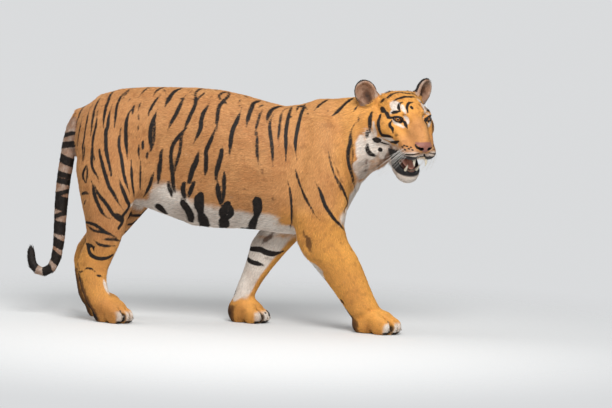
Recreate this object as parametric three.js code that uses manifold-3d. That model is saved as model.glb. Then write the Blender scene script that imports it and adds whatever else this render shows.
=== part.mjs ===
// A life-size Bengal tiger in mid-stride, standing still on level ground, head turned to its right.
//
// Frame: millimetres, +X the way the tiger walks, +Y its left, +Z up.
// Body and limbs are lofts between outlines. Head, jaw and paws are shells cast onto blended
// muscle masses. All flesh is joined into one body first and then parted with thin cuts.
import * as THREE from "three";
import { ParametricGeometry } from "three/addons/geometries/ParametricGeometry.js";
import { mergeVertices } from "three/addons/utils/BufferGeometryUtils.js";
import Module from "manifold-3d";

const wasm = await Module();
wasm.setup();

// ---- Driving dimensions -----------------------------------------------------------------------
const CUT = 0.4; // width of the thin cut between two neighbouring pieces
const HALF_STANCE = 100; // sideways distance of each paw from the midline
const EYEBALL_R = 18;
const EYE_HALF_SPACING = 64;
const HEAD_AT = [638, -150, 856]; // midpoint between the eyeballs
const HEAD_YAW = -56; // degrees; negative looks to the tiger's right
const HEAD_PITCH = -11; // degrees; negative drops the nose
const HEAD_ROLL = -2; // degrees; negative lifts the left ear
const JAW_OPEN = 24; // degrees between the closed and the panting jaw

const FUR = { orange: 0xc98345, pale: 0xd8c4b0, dark: 0x2b211d };
const { degToRad, lerp, clamp, smoothstep } = THREE.MathUtils;

// ---- Solids from closed three.js geometry -----------------------------------------------------
function solid(geometry) {
  const g = geometry.clone();
  g.deleteAttribute("normal");
  g.deleteAttribute("uv");
  const merged = mergeVertices(g, 1e-3);
  const corners = merged.index.array;
  const kept = [];
  for (let i = 0; i < corners.length; i += 3) {
    const [a, b, c] = corners.slice(i, i + 3);
    if (a !== b && b !== c && c !== a) kept.push(a, b, c);
  }
  const made = new wasm.Manifold(
    new wasm.Mesh({
      numProp: 3,
      vertProperties: merged.attributes.position.array,
      triVerts: new Uint32Array(kept),
    }),
  );
  if (made.volume() >= 0) return made;
  for (let i = 0; i < kept.length; i += 3) [kept[i + 1], kept[i + 2]] = [kept[i + 2], kept[i + 1]];
  return new wasm.Manifold(
    new wasm.Mesh({
      numProp: 3,
      vertProperties: merged.attributes.position.array,
      triVerts: new Uint32Array(kept),
    }),
  );
}

function geometryOf(manifold) {
  const mesh = manifold.getMesh();
  const step = mesh.numProp;
  const position = new Float32Array(mesh.numVert * 3);
  for (let i = 0; i < mesh.numVert; i++) {
    position.set(mesh.vertProperties.subarray(i * step, i * step + 3), i * 3);
  }
  const g = new THREE.BufferGeometry();
  g.setAttribute("position", new THREE.BufferAttribute(position, 3));
  g.setIndex(new THREE.BufferAttribute(new Uint32Array(mesh.triVerts), 1));
  const flat = g.toNonIndexed();
  flat.computeVertexNormals();
  return flat;
}

function ellipsoid(at, radii, matrix, slices = 18, stacks = 12) {
  const g = new THREE.SphereGeometry(1, slices, stacks);
  g.scale(...radii);
  g.translate(...at);
  if (matrix) g.applyMatrix4(matrix);
  return solid(g);
}

// ---- Lofts ------------------------------------------------------------------------------------
// A station is [x1, z1, x2, z2, y, w]: the two outline points of the section as seen from the
// side, its sideways place and its half-width.
function spline(values, t) {
  const at = clamp(t, 0, 1) * (values.length - 1);
  const i = Math.min(Math.floor(at), values.length - 2);
  const f = at - i;
  const p = (k) => values[clamp(k, 0, values.length - 1)];
  const [a, b, c, d] = [p(i - 1), p(i), p(i + 1), p(i + 2)];
  const rise = 2 * b + (c - a) * f;
  return 0.5 * (rise + (2 * a - 5 * b + 4 * c - d) * f * f + (3 * b - a - 3 * c + d) * f ** 3);
}

// squareness 2 is an ellipse; crest narrows the side of the section that the first point is on.
function loft(stations, { slices, stacks, squareness = 2.2, crest = 0, cap = 0.5 }) {
  const column = [0, 1, 2, 3, 4, 5].map((k) => stations.map((s) => s[k]));
  const section = (t) => {
    const [x1, z1, x2, z2, y, w] = column.map((values) => spline(values, t));
    return {
      centre: new THREE.Vector3((x1 + x2) / 2, y, (z1 + z2) / 2),
      up: new THREE.Vector3((x1 - x2) / 2, 0, (z1 - z2) / 2),
      w,
    };
  };
  const ends = [section(0), section(1)];
  const capLength = ends.map((s) => cap * Math.min(s.up.length(), s.w));
  const along = [
    ends[0].centre.clone().sub(section(0.02).centre).normalize(),
    ends[1].centre.clone().sub(section(0.98).centre).normalize(),
  ];
  const capShare = 2 / stacks;
  const power = 2 / squareness;
  const place = (u, v, target) => {
    const inCap = v < capShare ? 0 : v > 1 - capShare ? 1 : -1;
    const depth = inCap < 0 ? 0 : 1 - (inCap ? 1 - v : v) / capShare;
    const shrink = Math.cos((depth * Math.PI) / 2);
    const s = inCap < 0 ? section((v - capShare) / (1 - 2 * capShare)) : ends[inCap];
    const angle = u * 2 * Math.PI;
    const [c, q] = [Math.cos(angle), Math.sin(angle)];
    const side = Math.sign(c) * Math.abs(c) ** power * s.w * shrink * (1 - crest * Math.max(0, q) ** 2);
    const high = Math.sign(q) * Math.abs(q) ** power * shrink;
    target.copy(s.centre).addScaledVector(s.up, high);
    target.y += side;
    if (inCap >= 0) target.addScaledVector(along[inCap], capLength[inCap] * Math.sin((depth * Math.PI) / 2));
  };
  const closed = (u, v, target) => place(u === 1 ? 0 : u, v, target);
  return solid(new ParametricGeometry(closed, slices, stacks));
}

// ---- Blended masses ---------------------------------------------------------------------------
// A mass is { at, r, tilt }: an ellipsoid, tilted nose-down by tilt degrees. Overlapping masses
// flow into one another over the distance blend.
function massDistance(mass, p) {
  const [x, y, z] = [p.x - mass.at[0], p.y - mass.at[1], p.z - mass.at[2]];
  const [c, s] = [Math.cos(degToRad(mass.tilt ?? 0)), Math.sin(degToRad(mass.tilt ?? 0))];
  const q = [c * x - s * z, y, s * x + c * z];
  const k0 = Math.hypot(...q.map((v, i) => v / mass.r[i]));
  const k1 = Math.hypot(...q.map((v, i) => v / mass.r[i] ** 2));
  return k1 > 0 ? (k0 * (k0 - 1)) / k1 : -Math.min(...mass.r);
}

function blended(masses, blend) {
  return (p) =>
    masses.reduce((least, mass) => {
      const d = massDistance(mass, p);
      const h = clamp(0.5 + (0.5 * (d - least)) / blend, 0, 1);
      return lerp(d, least, h) - blend * h * (1 - h);
    }, 1e3);
}

// Both sides of the animal: each mass with a sideways place is repeated on the other side.
function paired(masses) {
  return masses.flatMap((m) => {
    if (m.at[1] === 0) return [m];
    return [m, { ...m, at: [m.at[0], -m.at[1], m.at[2]] }];
  });
}

// A closed shell round the masses: rays leave an axis that runs from one point to another, square
// to it along its length and fanning out at both ends, and stop at the surface.
function castShell(field, { from, to, radius, slices, stacks, reach = 320 }) {
  const [a, b] = [new THREE.Vector3(...from), new THREE.Vector3(...to)];
  const axis = b.clone().sub(a);
  const length = axis.length();
  axis.normalize();
  const side = new THREE.Vector3(0, 1, 0);
  const up = new THREE.Vector3().crossVectors(axis, side).negate();
  const fan = (radius * Math.PI) / 2;
  const place = (u, v, target) => {
    const s = v * (length + 2 * fan);
    const lean =
      s < fan ? (s / fan - 1) * 90 : s > fan + length ? ((s - fan - length) / fan) * 90 : 0;
    const origin = a.clone().addScaledVector(axis, clamp(s - fan, 0, length));
    const turn = (u === 1 ? 0 : u) * 2 * Math.PI;
    const ray = new THREE.Vector3()
      .addScaledVector(side, Math.cos(turn) * Math.cos(degToRad(lean)))
      .addScaledVector(up, Math.sin(turn) * Math.cos(degToRad(lean)))
      .addScaledVector(axis, Math.sin(degToRad(lean)));
    let [near, far] = [0, reach];
    for (let i = 0; i < 26; i++) {
      const middle = (near + far) / 2;
      if (field(target.copy(origin).addScaledVector(ray, middle)) < 0) near = middle;
      else far = middle;
    }
    target.copy(origin).addScaledVector(ray, near);
  };
  return new ParametricGeometry(place, slices, stacks);
}

// ---- Trunk and neck ---------------------------------------------------------------------------
// Rump to chest: x, back line, belly line, half-width.
function trunk() {
  const rows = [
    [-724, 790, 660, 54],
    [-702, 852, 600, 96],
    [-640, 908, 530, 122],
    [-560, 936, 486, 141],
    [-460, 948, 462, 149],
    [-360, 951, 430, 152],
    [-270, 953, 390, 162],
    [-180, 950, 378, 176],
    [-90, 939, 378, 185],
    [0, 917, 380, 189],
    [80, 897, 371, 184],
    [140, 890, 366, 177],
    [200, 906, 368, 167],
    [260, 924, 382, 155],
    [325, 926, 412, 139],
    [375, 915, 458, 115],
    [402, 860, 520, 81],
  ];
  const stations = rows.map(([x, back, belly, w]) => [x, back, x, belly, 0, w]);
  return loft(stations, { slices: 18, stacks: 19, squareness: 2.35, crest: 0.16 });
}

// Withers to skull: nape point, throat point, sideways place, half-width.
function neck() {
  return loft(
    [
      [230, 908, 350, 440, 0, 150],
      [310, 926, 398, 510, 0, 140],
      [385, 936, 420, 560, -3, 134],
      [440, 940, 448, 602, -12, 128],
      [490, 938, 488, 636, -30, 120],
      [540, 916, 532, 656, -52, 98],
    ],
    { slices: 14, stacks: 8, squareness: 2.2, crest: 0.2 },
  );
}

// ---- Limbs ------------------------------------------------------------------------------------
// Shoulder to wrist, front outline point then rear outline point. side is -1 right, +1 left.
function foreleg(side, rows) {
  return loft(
    rows.map(([x1, z1, x2, z2, y, w]) => [x1, z1, x2, z2, side * y, w]),
    { slices: 12, stacks: 14, squareness: 2.1 },
  );
}
const REACHING = [
  [338, 840, 208, 830, 100, 42],
  [385, 720, 186, 700, 114, 63],
  [408, 600, 168, 575, 122, 72],
  [400, 500, 166, 450, 122, 74],
  [386, 425, 182, 358, 120, 72],
  [400, 372, 214, 300, 116, 65],
  [432, 318, 262, 248, 111, 60],
  [458, 258, 306, 196, 106, 53],
  [484, 196, 346, 142, 103, 48],
  [508, 142, 384, 94, 101, 46],
  [530, 104, 412, 56, HALF_STANCE, 47],
];
const TRAILING = [
  [338, 840, 208, 830, 100, 42],
  [380, 710, 178, 700, 114, 63],
  [378, 600, 138, 565, 122, 72],
  [342, 500, 78, 465, 122, 74],
  [272, 425, 20, 395, 120, 70],
  [208, 370, -20, 350, 116, 63],
  [160, 318, -34, 304, 111, 57],
  [112, 262, -46, 248, 107, 51],
  [68, 206, -62, 194, 104, 46],
  [32, 152, -82, 142, 102, 43],
  [10, 108, -96, 90, HALF_STANCE, 44],
  [12, 78, -98, 50, HALF_STANCE, 44],
];

// Hip to foot. The stride moves the knee and the foot of the two legs differently.
function hindLeg(side, rows) {
  return loft(
    rows.map(([x1, z1, x2, z2, y, w]) => [x1, z1, x2, z2, side * y, w]),
    { slices: 12, stacks: 17, squareness: 2.1 },
  );
}
const SUPPORTING = [
  [-500, 830, -672, 800, 80, 50],
  [-462, 720, -708, 690, 95, 65],
  [-446, 620, -710, 590, 105, 73],
  [-452, 525, -694, 515, 110, 73],
  [-472, 450, -678, 448, 111, 65],
  [-490, 385, -664, 388, 108, 56],
  [-508, 325, -664, 336, 104, 52],
  [-532, 270, -676, 292, 101, 45],
  [-556, 222, -700, 246, 99, 41],
  [-564, 182, -694, 192, HALF_STANCE, 39],
  [-560, 140, -682, 138, HALF_STANCE, 39],
  [-545, 102, -664, 92, HALF_STANCE, 41],
  [-522, 76, -640, 50, HALF_STANCE, 44],
];
const PASSING = [
  [-500, 830, -672, 800, 80, 50],
  [-446, 720, -706, 690, 95, 65],
  [-416, 610, -702, 590, 105, 73],
  [-416, 520, -684, 515, 110, 72],
  [-438, 448, -670, 455, 111, 64],
  [-484, 385, -674, 402, 108, 55],
  [-536, 330, -692, 356, 104, 51],
  [-588, 278, -722, 308, 101, 44],
  [-626, 226, -744, 254, 99, 41],
  [-634, 184, -742, 198, HALF_STANCE, 39],
  [-630, 140, -734, 146, HALF_STANCE, 39],
  [-614, 102, -726, 94, HALF_STANCE, 41],
  [-592, 74, -706, 50, HALF_STANCE, 44],
];

// A flat-soled paw: the pad and instep, and two middle and two outer toes. heel and tip are the
// paw's ends along X; turn is its splay in degrees.
function paw(side, heel, tip, width, turn) {
  const length = tip - heel;
  const spread = width / 92;
  const masses = paired([
    { at: [-0.14 * length, 0, 28], r: [0.34 * length, 43 * spread, 42] },
    { at: [0.02 * length, 0, 46], r: [0.26 * length, 36 * spread, 35], tilt: 18 },
    { at: [0.3 * length, 14.5 * spread, 25], r: [0.2 * length, 15.5 * spread, 36], tilt: 6 },
    { at: [0.22 * length, 37 * spread, 22], r: [0.19 * length, 14.5 * spread, 32], tilt: 6 },
  ]);
  const shell = castShell(blended(masses, 7), {
    from: [-0.22 * length, 0, 28],
    to: [0.24 * length, 0, 28],
    radius: 42,
    slices: 12,
    stacks: 9,
  });
  shell.rotateZ(degToRad(turn));
  shell.translate((heel + tip) / 2, side * HALF_STANCE, 0);
  return solid(shell);
}

// ---- Tail -------------------------------------------------------------------------------------
// Points down the tail with the radius at each; the last third curls up behind.
const TAIL = [
  [-640, 0, 846, 42],
  [-700, 0, 822, 39],
  [-740, 0, 752, 34],
  [-758, 0, 670, 31],
  [-772, 0, 580, 29],
  [-782, 0, 480, 27.5],
  [-786, 0, 375, 25],
  [-792, 0, 272, 22.5],
  [-812, 0, 205, 20.5],
  [-850, 0, 182, 19.5],
  [-886, 0, 198, 18.5],
  [-900, 0, 234, 17.5],
  [-902, 0, 270, 15],
];

function tail() {
  const [slices, stacks] = [8, 20];
  const path = new THREE.CatmullRomCurve3(TAIL.map(([x, y, z]) => new THREE.Vector3(x, y, z)));
  const radii = TAIL.map((p) => p[3]);
  const side = new THREE.Vector3(0, 1, 0);
  const capShare = 1.5 / stacks;
  const place = (u, v, target) => {
    const t = clamp((v - capShare) / (1 - 2 * capShare), 0, 1);
    const depth = v < capShare ? 1 - v / capShare : v > 1 - capShare ? 1 - (1 - v) / capShare : 0;
    const tangent = path.getTangent(t);
    const out = new THREE.Vector3().crossVectors(tangent, side);
    const r = spline(radii, t);
    const shrink = r * Math.cos((depth * Math.PI) / 2);
    const angle = (u === 1 ? 0 : u) * 2 * Math.PI;
    target.copy(path.getPoint(t));
    target.addScaledVector(tangent, Math.sign(v - 0.5) * 0.8 * r * Math.sin((depth * Math.PI) / 2));
    target.addScaledVector(side, Math.cos(angle) * shrink);
    target.addScaledVector(out, Math.sin(angle) * shrink);
  };
  return solid(new ParametricGeometry(place, slices, stacks));
}

// ---- Head -------------------------------------------------------------------------------------
// Head coordinates: +X to the nose, +Y to the left ear, +Z to the crown, from between the eyes.
const HEAD = new THREE.Matrix4().compose(
  new THREE.Vector3(...HEAD_AT),
  new THREE.Quaternion().setFromEuler(
    new THREE.Euler(degToRad(-HEAD_ROLL), degToRad(-HEAD_PITCH), degToRad(HEAD_YAW), "ZYX"),
  ),
  new THREE.Vector3(1, 1, 1),
);

// Skull and flesh above the mouth.
const SKULL = paired([
  { at: [-105, 0, 14], r: [98, 90, 76] }, // braincase
  { at: [-50, 0, 36], r: [58, 60, 42], tilt: 16 }, // forehead
  { at: [-10, 42, 26], r: [26, 32, 18] }, // brow
  { at: [-32, 56, -4], r: [32, 32, 30] }, // orbit
  { at: [-128, 54, 50], r: [44, 36, 32] }, // crown beside the ear
  { at: [-34, 0, -52], r: [80, 82, 74] }, // middle of the face
  { at: [-62, 80, -50], r: [66, 42, 54] }, // cheekbone
  { at: [14, 49, -66], r: [56, 34, 44], tilt: 12 }, // upper jaw under the eye
  { at: [-110, 98, -104], r: [56, 52, 84] }, // ruff over the jaw muscle
  { at: [-110, 0, -92], r: [80, 104, 92] }, // throat
  { at: [42, 0, -26], r: [84, 34, 33], tilt: 36 }, // bridge of the nose
  { at: [46, 0, -88], r: [66, 58, 46], tilt: 8 }, // muzzle
  { at: [62, 37, -110], r: [48, 34, 37], tilt: 6 }, // whisker pad
  { at: [100, 0, -84], r: [20, 29, 22] }, // nose
]);
// Lower jaw, closed: body, floor, chin and jaw muscle.
const LOWER_JAW = paired([
  { at: [4, 38, -158], r: [80, 24, 30], tilt: 4 },
  { at: [26, 0, -176], r: [52, 42, 26] },
  { at: [50, 0, -180], r: [31, 46, 34] },
  { at: [-56, 50, -130], r: [52, 34, 44] },
]);
const JAW_JOINT = [-85, 0, -65];

function jawSwing() {
  return new THREE.Matrix4()
    .makeTranslation(...JAW_JOINT)
    .multiply(new THREE.Matrix4().makeRotationY(degToRad(JAW_OPEN)))
    .multiply(new THREE.Matrix4().makeTranslation(...JAW_JOINT.map((v) => -v)));
}

function skull() {
  const shell = castShell(blended(SKULL, 28), {
    from: [-108, 0, -28],
    to: [74, 0, -80],
    radius: 62,
    slices: 22,
    stacks: 16,
  });
  return solid(shell.applyMatrix4(HEAD));
}

function lowerJaw() {
  const shell = castShell(blended(LOWER_JAW, 14), {
    from: [-30, 0, -150],
    to: [70, 0, -162],
    radius: 34,
    slices: 14,
    stacks: 10,
  });
  return solid(shell.applyMatrix4(jawSwing()).applyMatrix4(HEAD));
}

// A rounded ear, cupped at the front and turned outwards.
const EAR = { at: [-164, 130, 68], wide: 45, tall: 55, thick: 15, turn: 22, lean: 26 };

function earMatrix(side) {
  return HEAD.clone()
    .multiply(new THREE.Matrix4().makeTranslation(EAR.at[0], side * EAR.at[1], EAR.at[2]))
    .multiply(new THREE.Matrix4().makeRotationZ(degToRad(side * EAR.turn)))
    .multiply(new THREE.Matrix4().makeRotationX(degToRad(-side * EAR.lean)));
}

function earBlade(side, grow = 0) {
  const radii = [EAR.thick * 1.5, EAR.wide, EAR.tall].map((r) => r + grow);
  return ellipsoid([0, 0, 0], radii, earMatrix(side), 10, 6);
}

function ear(side) {
  const place = earMatrix(side);
  const root = ellipsoid([-6, -side * 10, -46], [26, 32, 42], place, 8, 4);
  const cup = ellipsoid([24, 0, 4], [30, EAR.wide - 9, EAR.tall - 12], place, 8, 5);
  return earBlade(side).add(root).subtract(cup);
}

function eye(side, grow = 0) {
  const r = EYEBALL_R + grow;
  return ellipsoid([-8, side * EYE_HALF_SPACING, 0], [r, r, r], HEAD, 12, 7);
}

// A canine: a curved cone from its root to its tip.
function canine(root, tip, r, matrix) {
  const [a, b] = [new THREE.Vector3(...root), new THREE.Vector3(...tip)];
  const bend = new THREE.Vector3().lerpVectors(a, b, 0.5).add(new THREE.Vector3(5, 0, 0));
  const path = new THREE.QuadraticBezierCurve3(a, bend, b);
  const [side, ahead] = [new THREE.Vector3(0, 1, 0), new THREE.Vector3(1, 0, 0)];
  const place = (u, v, target) => {
    const angle = (u === 1 ? 0 : u) * 2 * Math.PI;
    const wide = v === 0 || v === 1 ? 0 : r * (1 - 0.75 * v ** 1.4);
    target.copy(path.getPoint(v));
    target.addScaledVector(side, 0.8 * Math.cos(angle) * wide);
    target.addScaledVector(ahead, Math.sin(angle) * wide);
  };
  return solid(new ParametricGeometry(place, 6, 4).applyMatrix4(matrix));
}

const JAW = HEAD.clone().multiply(jawSwing());

function tongue(grow = 0) {
  return ellipsoid([16, 0, -142], [62 + grow, 25 + grow, 9 + grow], JAW, 12, 6);
}

// ---- The whole body ---------------------------------------------------------------------------
// A box cutter. grow widens it on every side; frame places it in the head's or jaw's own axes.
function block({ at, size, tilt = 0, frame }, grow = 0) {
  const g = new THREE.BoxGeometry(...size.map((s) => s + 2 * grow));
  g.rotateY(degToRad(-tilt));
  g.translate(...at);
  if (frame) g.applyMatrix4(frame);
  return solid(g);
}

let flesh = [
  trunk(),
  neck(),
  foreleg(-1, REACHING),
  foreleg(1, TRAILING),
  hindLeg(-1, SUPPORTING),
  hindLeg(1, PASSING),
  paw(-1, 408, 622, 104, -4),
  paw(1, -106, 62, 96, 6),
  paw(-1, -628, -448, 92, -6),
  paw(1, -686, -524, 90, 8),
  tail(),
  skull(),
  lowerJaw(),
  ear(-1),
  ear(1),
  canine([78, -22, -118], [84, -22, -172], 9.5, HEAD),
  canine([78, 22, -118], [84, 22, -172], 9.5, HEAD),
  canine([64, -24, -162], [70, -25, -124], 8.5, JAW),
  canine([64, 24, -162], [70, 25, -124], 8.5, JAW),
].reduce((all, one) => all.add(one));
flesh = flesh.subtract(block({ at: [0, 0, -100], size: [3000, 2000, 200] })); // soles flat on the ground
for (const side of [-1, 1]) flesh = flesh.subtract(eye(side, CUT));
flesh = flesh.subtract(tongue(CUT));

// ---- Named pieces -----------------------------------------------------------------------------
const body = new THREE.Group();
function addNode(name, shape, color, roughness = 0.9) {
  const material = new THREE.MeshStandardMaterial({ color, roughness, metalness: 0 });
  const mesh = new THREE.Mesh(geometryOf(shape), material);
  mesh.name = name;
  body.add(mesh);
}

// Parts off what a cutter holds, as a piece of its own with a thin cut round it.
function part(name, cutter, color = FUR.orange) {
  const held = typeof cutter === "function" ? cutter : (grow) => block(cutter, grow);
  const bodies = flesh.intersect(held(0)).decompose();
  const main = bodies.reduce((a, b) => (a.volume() > b.volume() ? a : b));
  flesh = flesh.subtract(held(CUT));
  addNode(name, main, color);
}

// A cutter for one limb: what lies within depth below the line from a front to a rear point, and
// a little past both ends of it.
function below(side, [x1, z1], [x2, z2], depth, ahead = 30, behind = 30) {
  const tilt = Math.atan2(z1 - z2, x1 - x2);
  const [c, s] = [Math.cos(tilt), Math.sin(tilt)];
  const shift = (ahead - behind) / 2;
  return {
    at: [
      (x1 + x2) / 2 + c * shift + (s * depth) / 2,
      side * 125,
      (z1 + z2) / 2 + s * shift - (c * depth) / 2,
    ],
    size: [Math.hypot(x1 - x2, z1 - z2) + ahead + behind, 230, depth],
    tilt: THREE.MathUtils.radToDeg(tilt),
  };
}

const SIDES = [
  ["right", -1],
  ["left", 1],
];
for (const [name, side] of SIDES) {
  part(`ear_${name}`, (grow) => earBlade(side, 1 + grow), FUR.dark);
}
part("nose", { at: [118, 0, -84], size: [36, 90, 60], frame: HEAD }, 0xa8705f);
part("jaw", { at: [74, 0, -188], size: [172, 180, 144], frame: JAW }, FUR.pale);
part("head", { at: [40, 0, 14], size: [340, 440, 420], tilt: 22, frame: HEAD });
part("neck", { at: [555, 0, 759], size: [400, 640, 640], tilt: 15.5 });

part("forepaw_right", below(-1, [530, 104], [412, 56], 200, 150, 60));
part("forearm_right", below(-1, [400, 372], [214, 300], 330));
part("forepaw_left", below(1, [12, 84], [-98, 70], 160, 90, 60), FUR.pale);
part("forearm_left", below(1, [208, 370], [-20, 350], 330, 30, 110), FUR.pale);
part("hindpaw_right", below(-1, [-530, 84], [-656, 78], 160, 110, 60));
part("hock_right", below(-1, [-532, 270], [-676, 292], 240, 40, 60));
part("shank_right", below(-1, [-472, 450], [-678, 448], 260, 10, 60));
part("hindpaw_left", below(1, [-602, 84], [-720, 78], 160, 110, 60));
part("hock_left", below(1, [-588, 278], [-722, 308], 250, 40, 60));
part("shank_left", below(1, [-438, 448], [-670, 455], 260, 10, 60));
for (const [name, side] of SIDES) {
  part(`shoulder_${name}`, { at: [side < 0 ? 290 : 250, side * 180, 600], size: [340, 150, 560] });
  part(`thigh_${name}`, { at: [-585, side * 170, 650], size: [360, 170, 440] });
}
part("tail_tip", { at: [-880, 0, 240], size: [110, 80, 200] }, FUR.dark);
part("tail_lower", { at: [-800, 0, 275], size: [160, 90, 250] });
part("tail_middle", { at: [-800, 0, 495], size: [160, 90, 210] });
part("tail_root", { at: [-780, 0, 700], size: [120, 100, 220] });
part("rump", { at: [-592, 0, 650], size: [375, 500, 700] });
part("loin", { at: [-270, 0, 650], size: [300, 500, 700] });
addNode("chest", flesh, FUR.orange);

for (const [name, side] of SIDES) addNode(`eye_${name}`, eye(side), 0x8a5a1e, 0.15);
addNode("tongue", tongue(), 0xc25a45, 0.5);

// The origin is on the ground under the middle of the model.
const tiger = new THREE.Group();
tiger.add(body);
const extent = new THREE.Box3().setFromObject(body);
const middle = extent.getCenter(new THREE.Vector3());
body.position.set(-middle.x, -middle.y, -extent.min.z);

export default tiger;
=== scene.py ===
import math

import bmesh
import bpy
import numpy as np
import openvdb
from mathutils import Matrix, Vector
from mathutils.bvhtree import BVHTree
from mathutils.kdtree import KDTree


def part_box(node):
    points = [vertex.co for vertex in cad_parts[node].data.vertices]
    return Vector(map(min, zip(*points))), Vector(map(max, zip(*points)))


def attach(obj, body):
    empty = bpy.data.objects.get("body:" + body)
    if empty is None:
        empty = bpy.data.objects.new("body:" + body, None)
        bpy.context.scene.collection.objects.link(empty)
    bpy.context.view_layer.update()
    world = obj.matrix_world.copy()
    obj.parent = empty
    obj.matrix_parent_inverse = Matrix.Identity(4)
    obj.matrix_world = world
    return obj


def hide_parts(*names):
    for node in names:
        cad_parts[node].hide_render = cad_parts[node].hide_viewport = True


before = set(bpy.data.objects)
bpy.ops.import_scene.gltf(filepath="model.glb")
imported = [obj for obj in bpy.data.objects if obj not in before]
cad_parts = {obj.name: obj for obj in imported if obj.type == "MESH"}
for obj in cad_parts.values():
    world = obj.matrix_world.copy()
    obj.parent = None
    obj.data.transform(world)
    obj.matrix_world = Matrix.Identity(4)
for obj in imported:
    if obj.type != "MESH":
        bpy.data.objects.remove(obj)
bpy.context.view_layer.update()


# ---- Camera -------------------------------------------------------------------------------------
# A long lens eleven metres off the tiger's right flank, a little behind square to it and hardly
# above its middle. The picture leans by a degree or two.
camera_aim = Vector((0.3025, 0.0256, 0.4956))
camera_turn, camera_height, camera_lean = (math.radians(a) for a in (6, 4, 1.7))
camera_back = Vector((
    math.sin(camera_turn) * math.cos(camera_height),
    -math.cos(camera_turn) * math.cos(camera_height),
    math.sin(camera_height),
))
level = Vector((math.cos(camera_turn), math.sin(camera_turn), 0))
upright = camera_back.cross(level)
camera_right = level * math.cos(camera_lean) + upright * math.sin(camera_lean)
camera_up = upright * math.cos(camera_lean) - level * math.sin(camera_lean)
camera_distance = 11.0


def in_scene(name, data):
    """A new object that holds these data, in the scene."""
    made = bpy.data.objects.new(name, data)
    bpy.context.scene.collection.objects.link(made)
    return made


camera = in_scene("camera", bpy.data.cameras.new("camera"))
camera.data.lens, camera.data.sensor_width = 161.8, 36
camera.data.clip_end = 100
camera_axes = Matrix((camera_right, camera_up, camera_back)).transposed().to_4x4()
camera.matrix_world = Matrix.Translation(camera_aim + camera_back * camera_distance) @ camera_axes
bpy.context.scene.camera = camera


# ---- Floor and light ----------------------------------------------------------------------------
# A pale seamless floor under an even sky, one broad soft lamp overhead and towards the viewer,
# and a weaker one from the tail's side.
def new_material(name, roughness):
    """A material of that roughness, with its node tree and its Principled shader."""
    material = bpy.data.materials.new(name)
    material.use_nodes = True
    shader = material.node_tree.nodes["Principled BSDF"]
    shader.inputs["Roughness"].default_value = roughness
    return material, material.node_tree, shader


floor_mesh = bpy.data.meshes.new("floor")
far_out = 60  # metres from the middle to the floor's edges
floor_mesh.from_pydata(
    [(x * far_out, y * far_out, 0) for x, y in ((-1, -1), (1, -1), (1, 1), (-1, 1))],
    [],
    [(0, 1, 2, 3)],
)
floor = in_scene("floor", floor_mesh)
pale_floor, tree, shader = new_material("pale_floor", 0.85)
shader.inputs["Base Color"].default_value = (0.72, 0.72, 0.71, 1)
nodes, links = tree.nodes, tree.links
reach = nodes.new("ShaderNodeVectorMath")  # the floor fades out between two distances
reach.operation = "LENGTH"
fade = nodes.new("ShaderNodeMapRange")
fade.interpolation_type = "SMOOTHSTEP"
for socket, value in ((1, 0.6), (2, 2.4), (3, 1.0), (4, 0.0)):
    fade.inputs[socket].default_value = value
links.new(nodes.new("ShaderNodeTexCoord").outputs["Object"], reach.inputs[0])
links.new(reach.outputs["Value"], fade.inputs[0])
links.new(fade.outputs[0], shader.inputs["Alpha"])
floor_mesh.materials.append(pale_floor)

world = bpy.data.worlds.new("even_sky")
world.use_nodes = True
nodes, links = world.node_tree.nodes, world.node_tree.links
nodes["Background"].inputs["Color"].default_value = (0.94, 0.97, 1, 1)
nodes["Background"].inputs["Strength"].default_value = 0.45
backdrop = nodes.new("ShaderNodeBackground")  # what the eye sees behind the animal
backdrop.inputs["Color"].default_value = (0.70, 0.71, 0.72, 1)
seen_or_lit = nodes.new("ShaderNodeMixShader")
links.new(nodes.new("ShaderNodeLightPath").outputs["Is Camera Ray"], seen_or_lit.inputs[0])
links.new(nodes["Background"].outputs[0], seen_or_lit.inputs[1])
links.new(backdrop.outputs[0], seen_or_lit.inputs[2])
links.new(seen_or_lit.outputs[0], nodes["World Output"].inputs[0])
bpy.context.scene.world = world
bpy.context.scene.view_settings.view_transform = "Standard"

lamp_aim = Vector((0.1, 0, 0.5))  # the middle of the trunk
for name, place, watts, size in (
    ("lamp_over", (1.1, -3.4, 3.3), 225, 2.2),
    ("lamp_tail", (-3.4, 0.2, 3.0), 60, 2.4),
):
    lamp = in_scene(name, bpy.data.lights.new(name, "AREA"))
    lamp.data.energy, lamp.data.size = watts, size
    lamp.location = place
    lamp.rotation_mode = "QUATERNION"
    lamp.rotation_quaternion = (Vector(place) - lamp_aim).to_track_quat("Z", "Y")


# ---- Skin ---------------------------------------------------------------------------------------
# One hide over the whole animal, of living skin under a short coat. It is made from the solids
# of flesh: joined into one body, drawn in by the coat's depth and softened over the muscles.
MM = 0.001
STEP = 3.0  # millimetres between two samples of the flesh's distance field
apart = ("eye_right", "eye_left", "tongue")
flesh_nodes = [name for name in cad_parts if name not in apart]


def read(items, key, width, kind=np.float32):
    """That property of all the items as an array, a row for each."""
    values = np.empty(len(items) * width, kind)
    items.foreach_get(key, values)
    return values.reshape(-1, width)


corners, triangles, flesh_sizes, count = [], [], [], 0
for name in flesh_nodes:
    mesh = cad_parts[name].data
    mesh.calc_loop_triangles()
    corners.append(read(mesh.vertices, "co", 3) / MM)
    triangles.append(read(mesh.loop_triangles, "vertices", 3, np.int32) + count)
    flesh_sizes.append(len(mesh.loop_triangles))
    count += len(mesh.vertices)
corners, triangles = np.concatenate(corners), np.concatenate(triangles).astype(np.uint32)

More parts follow.
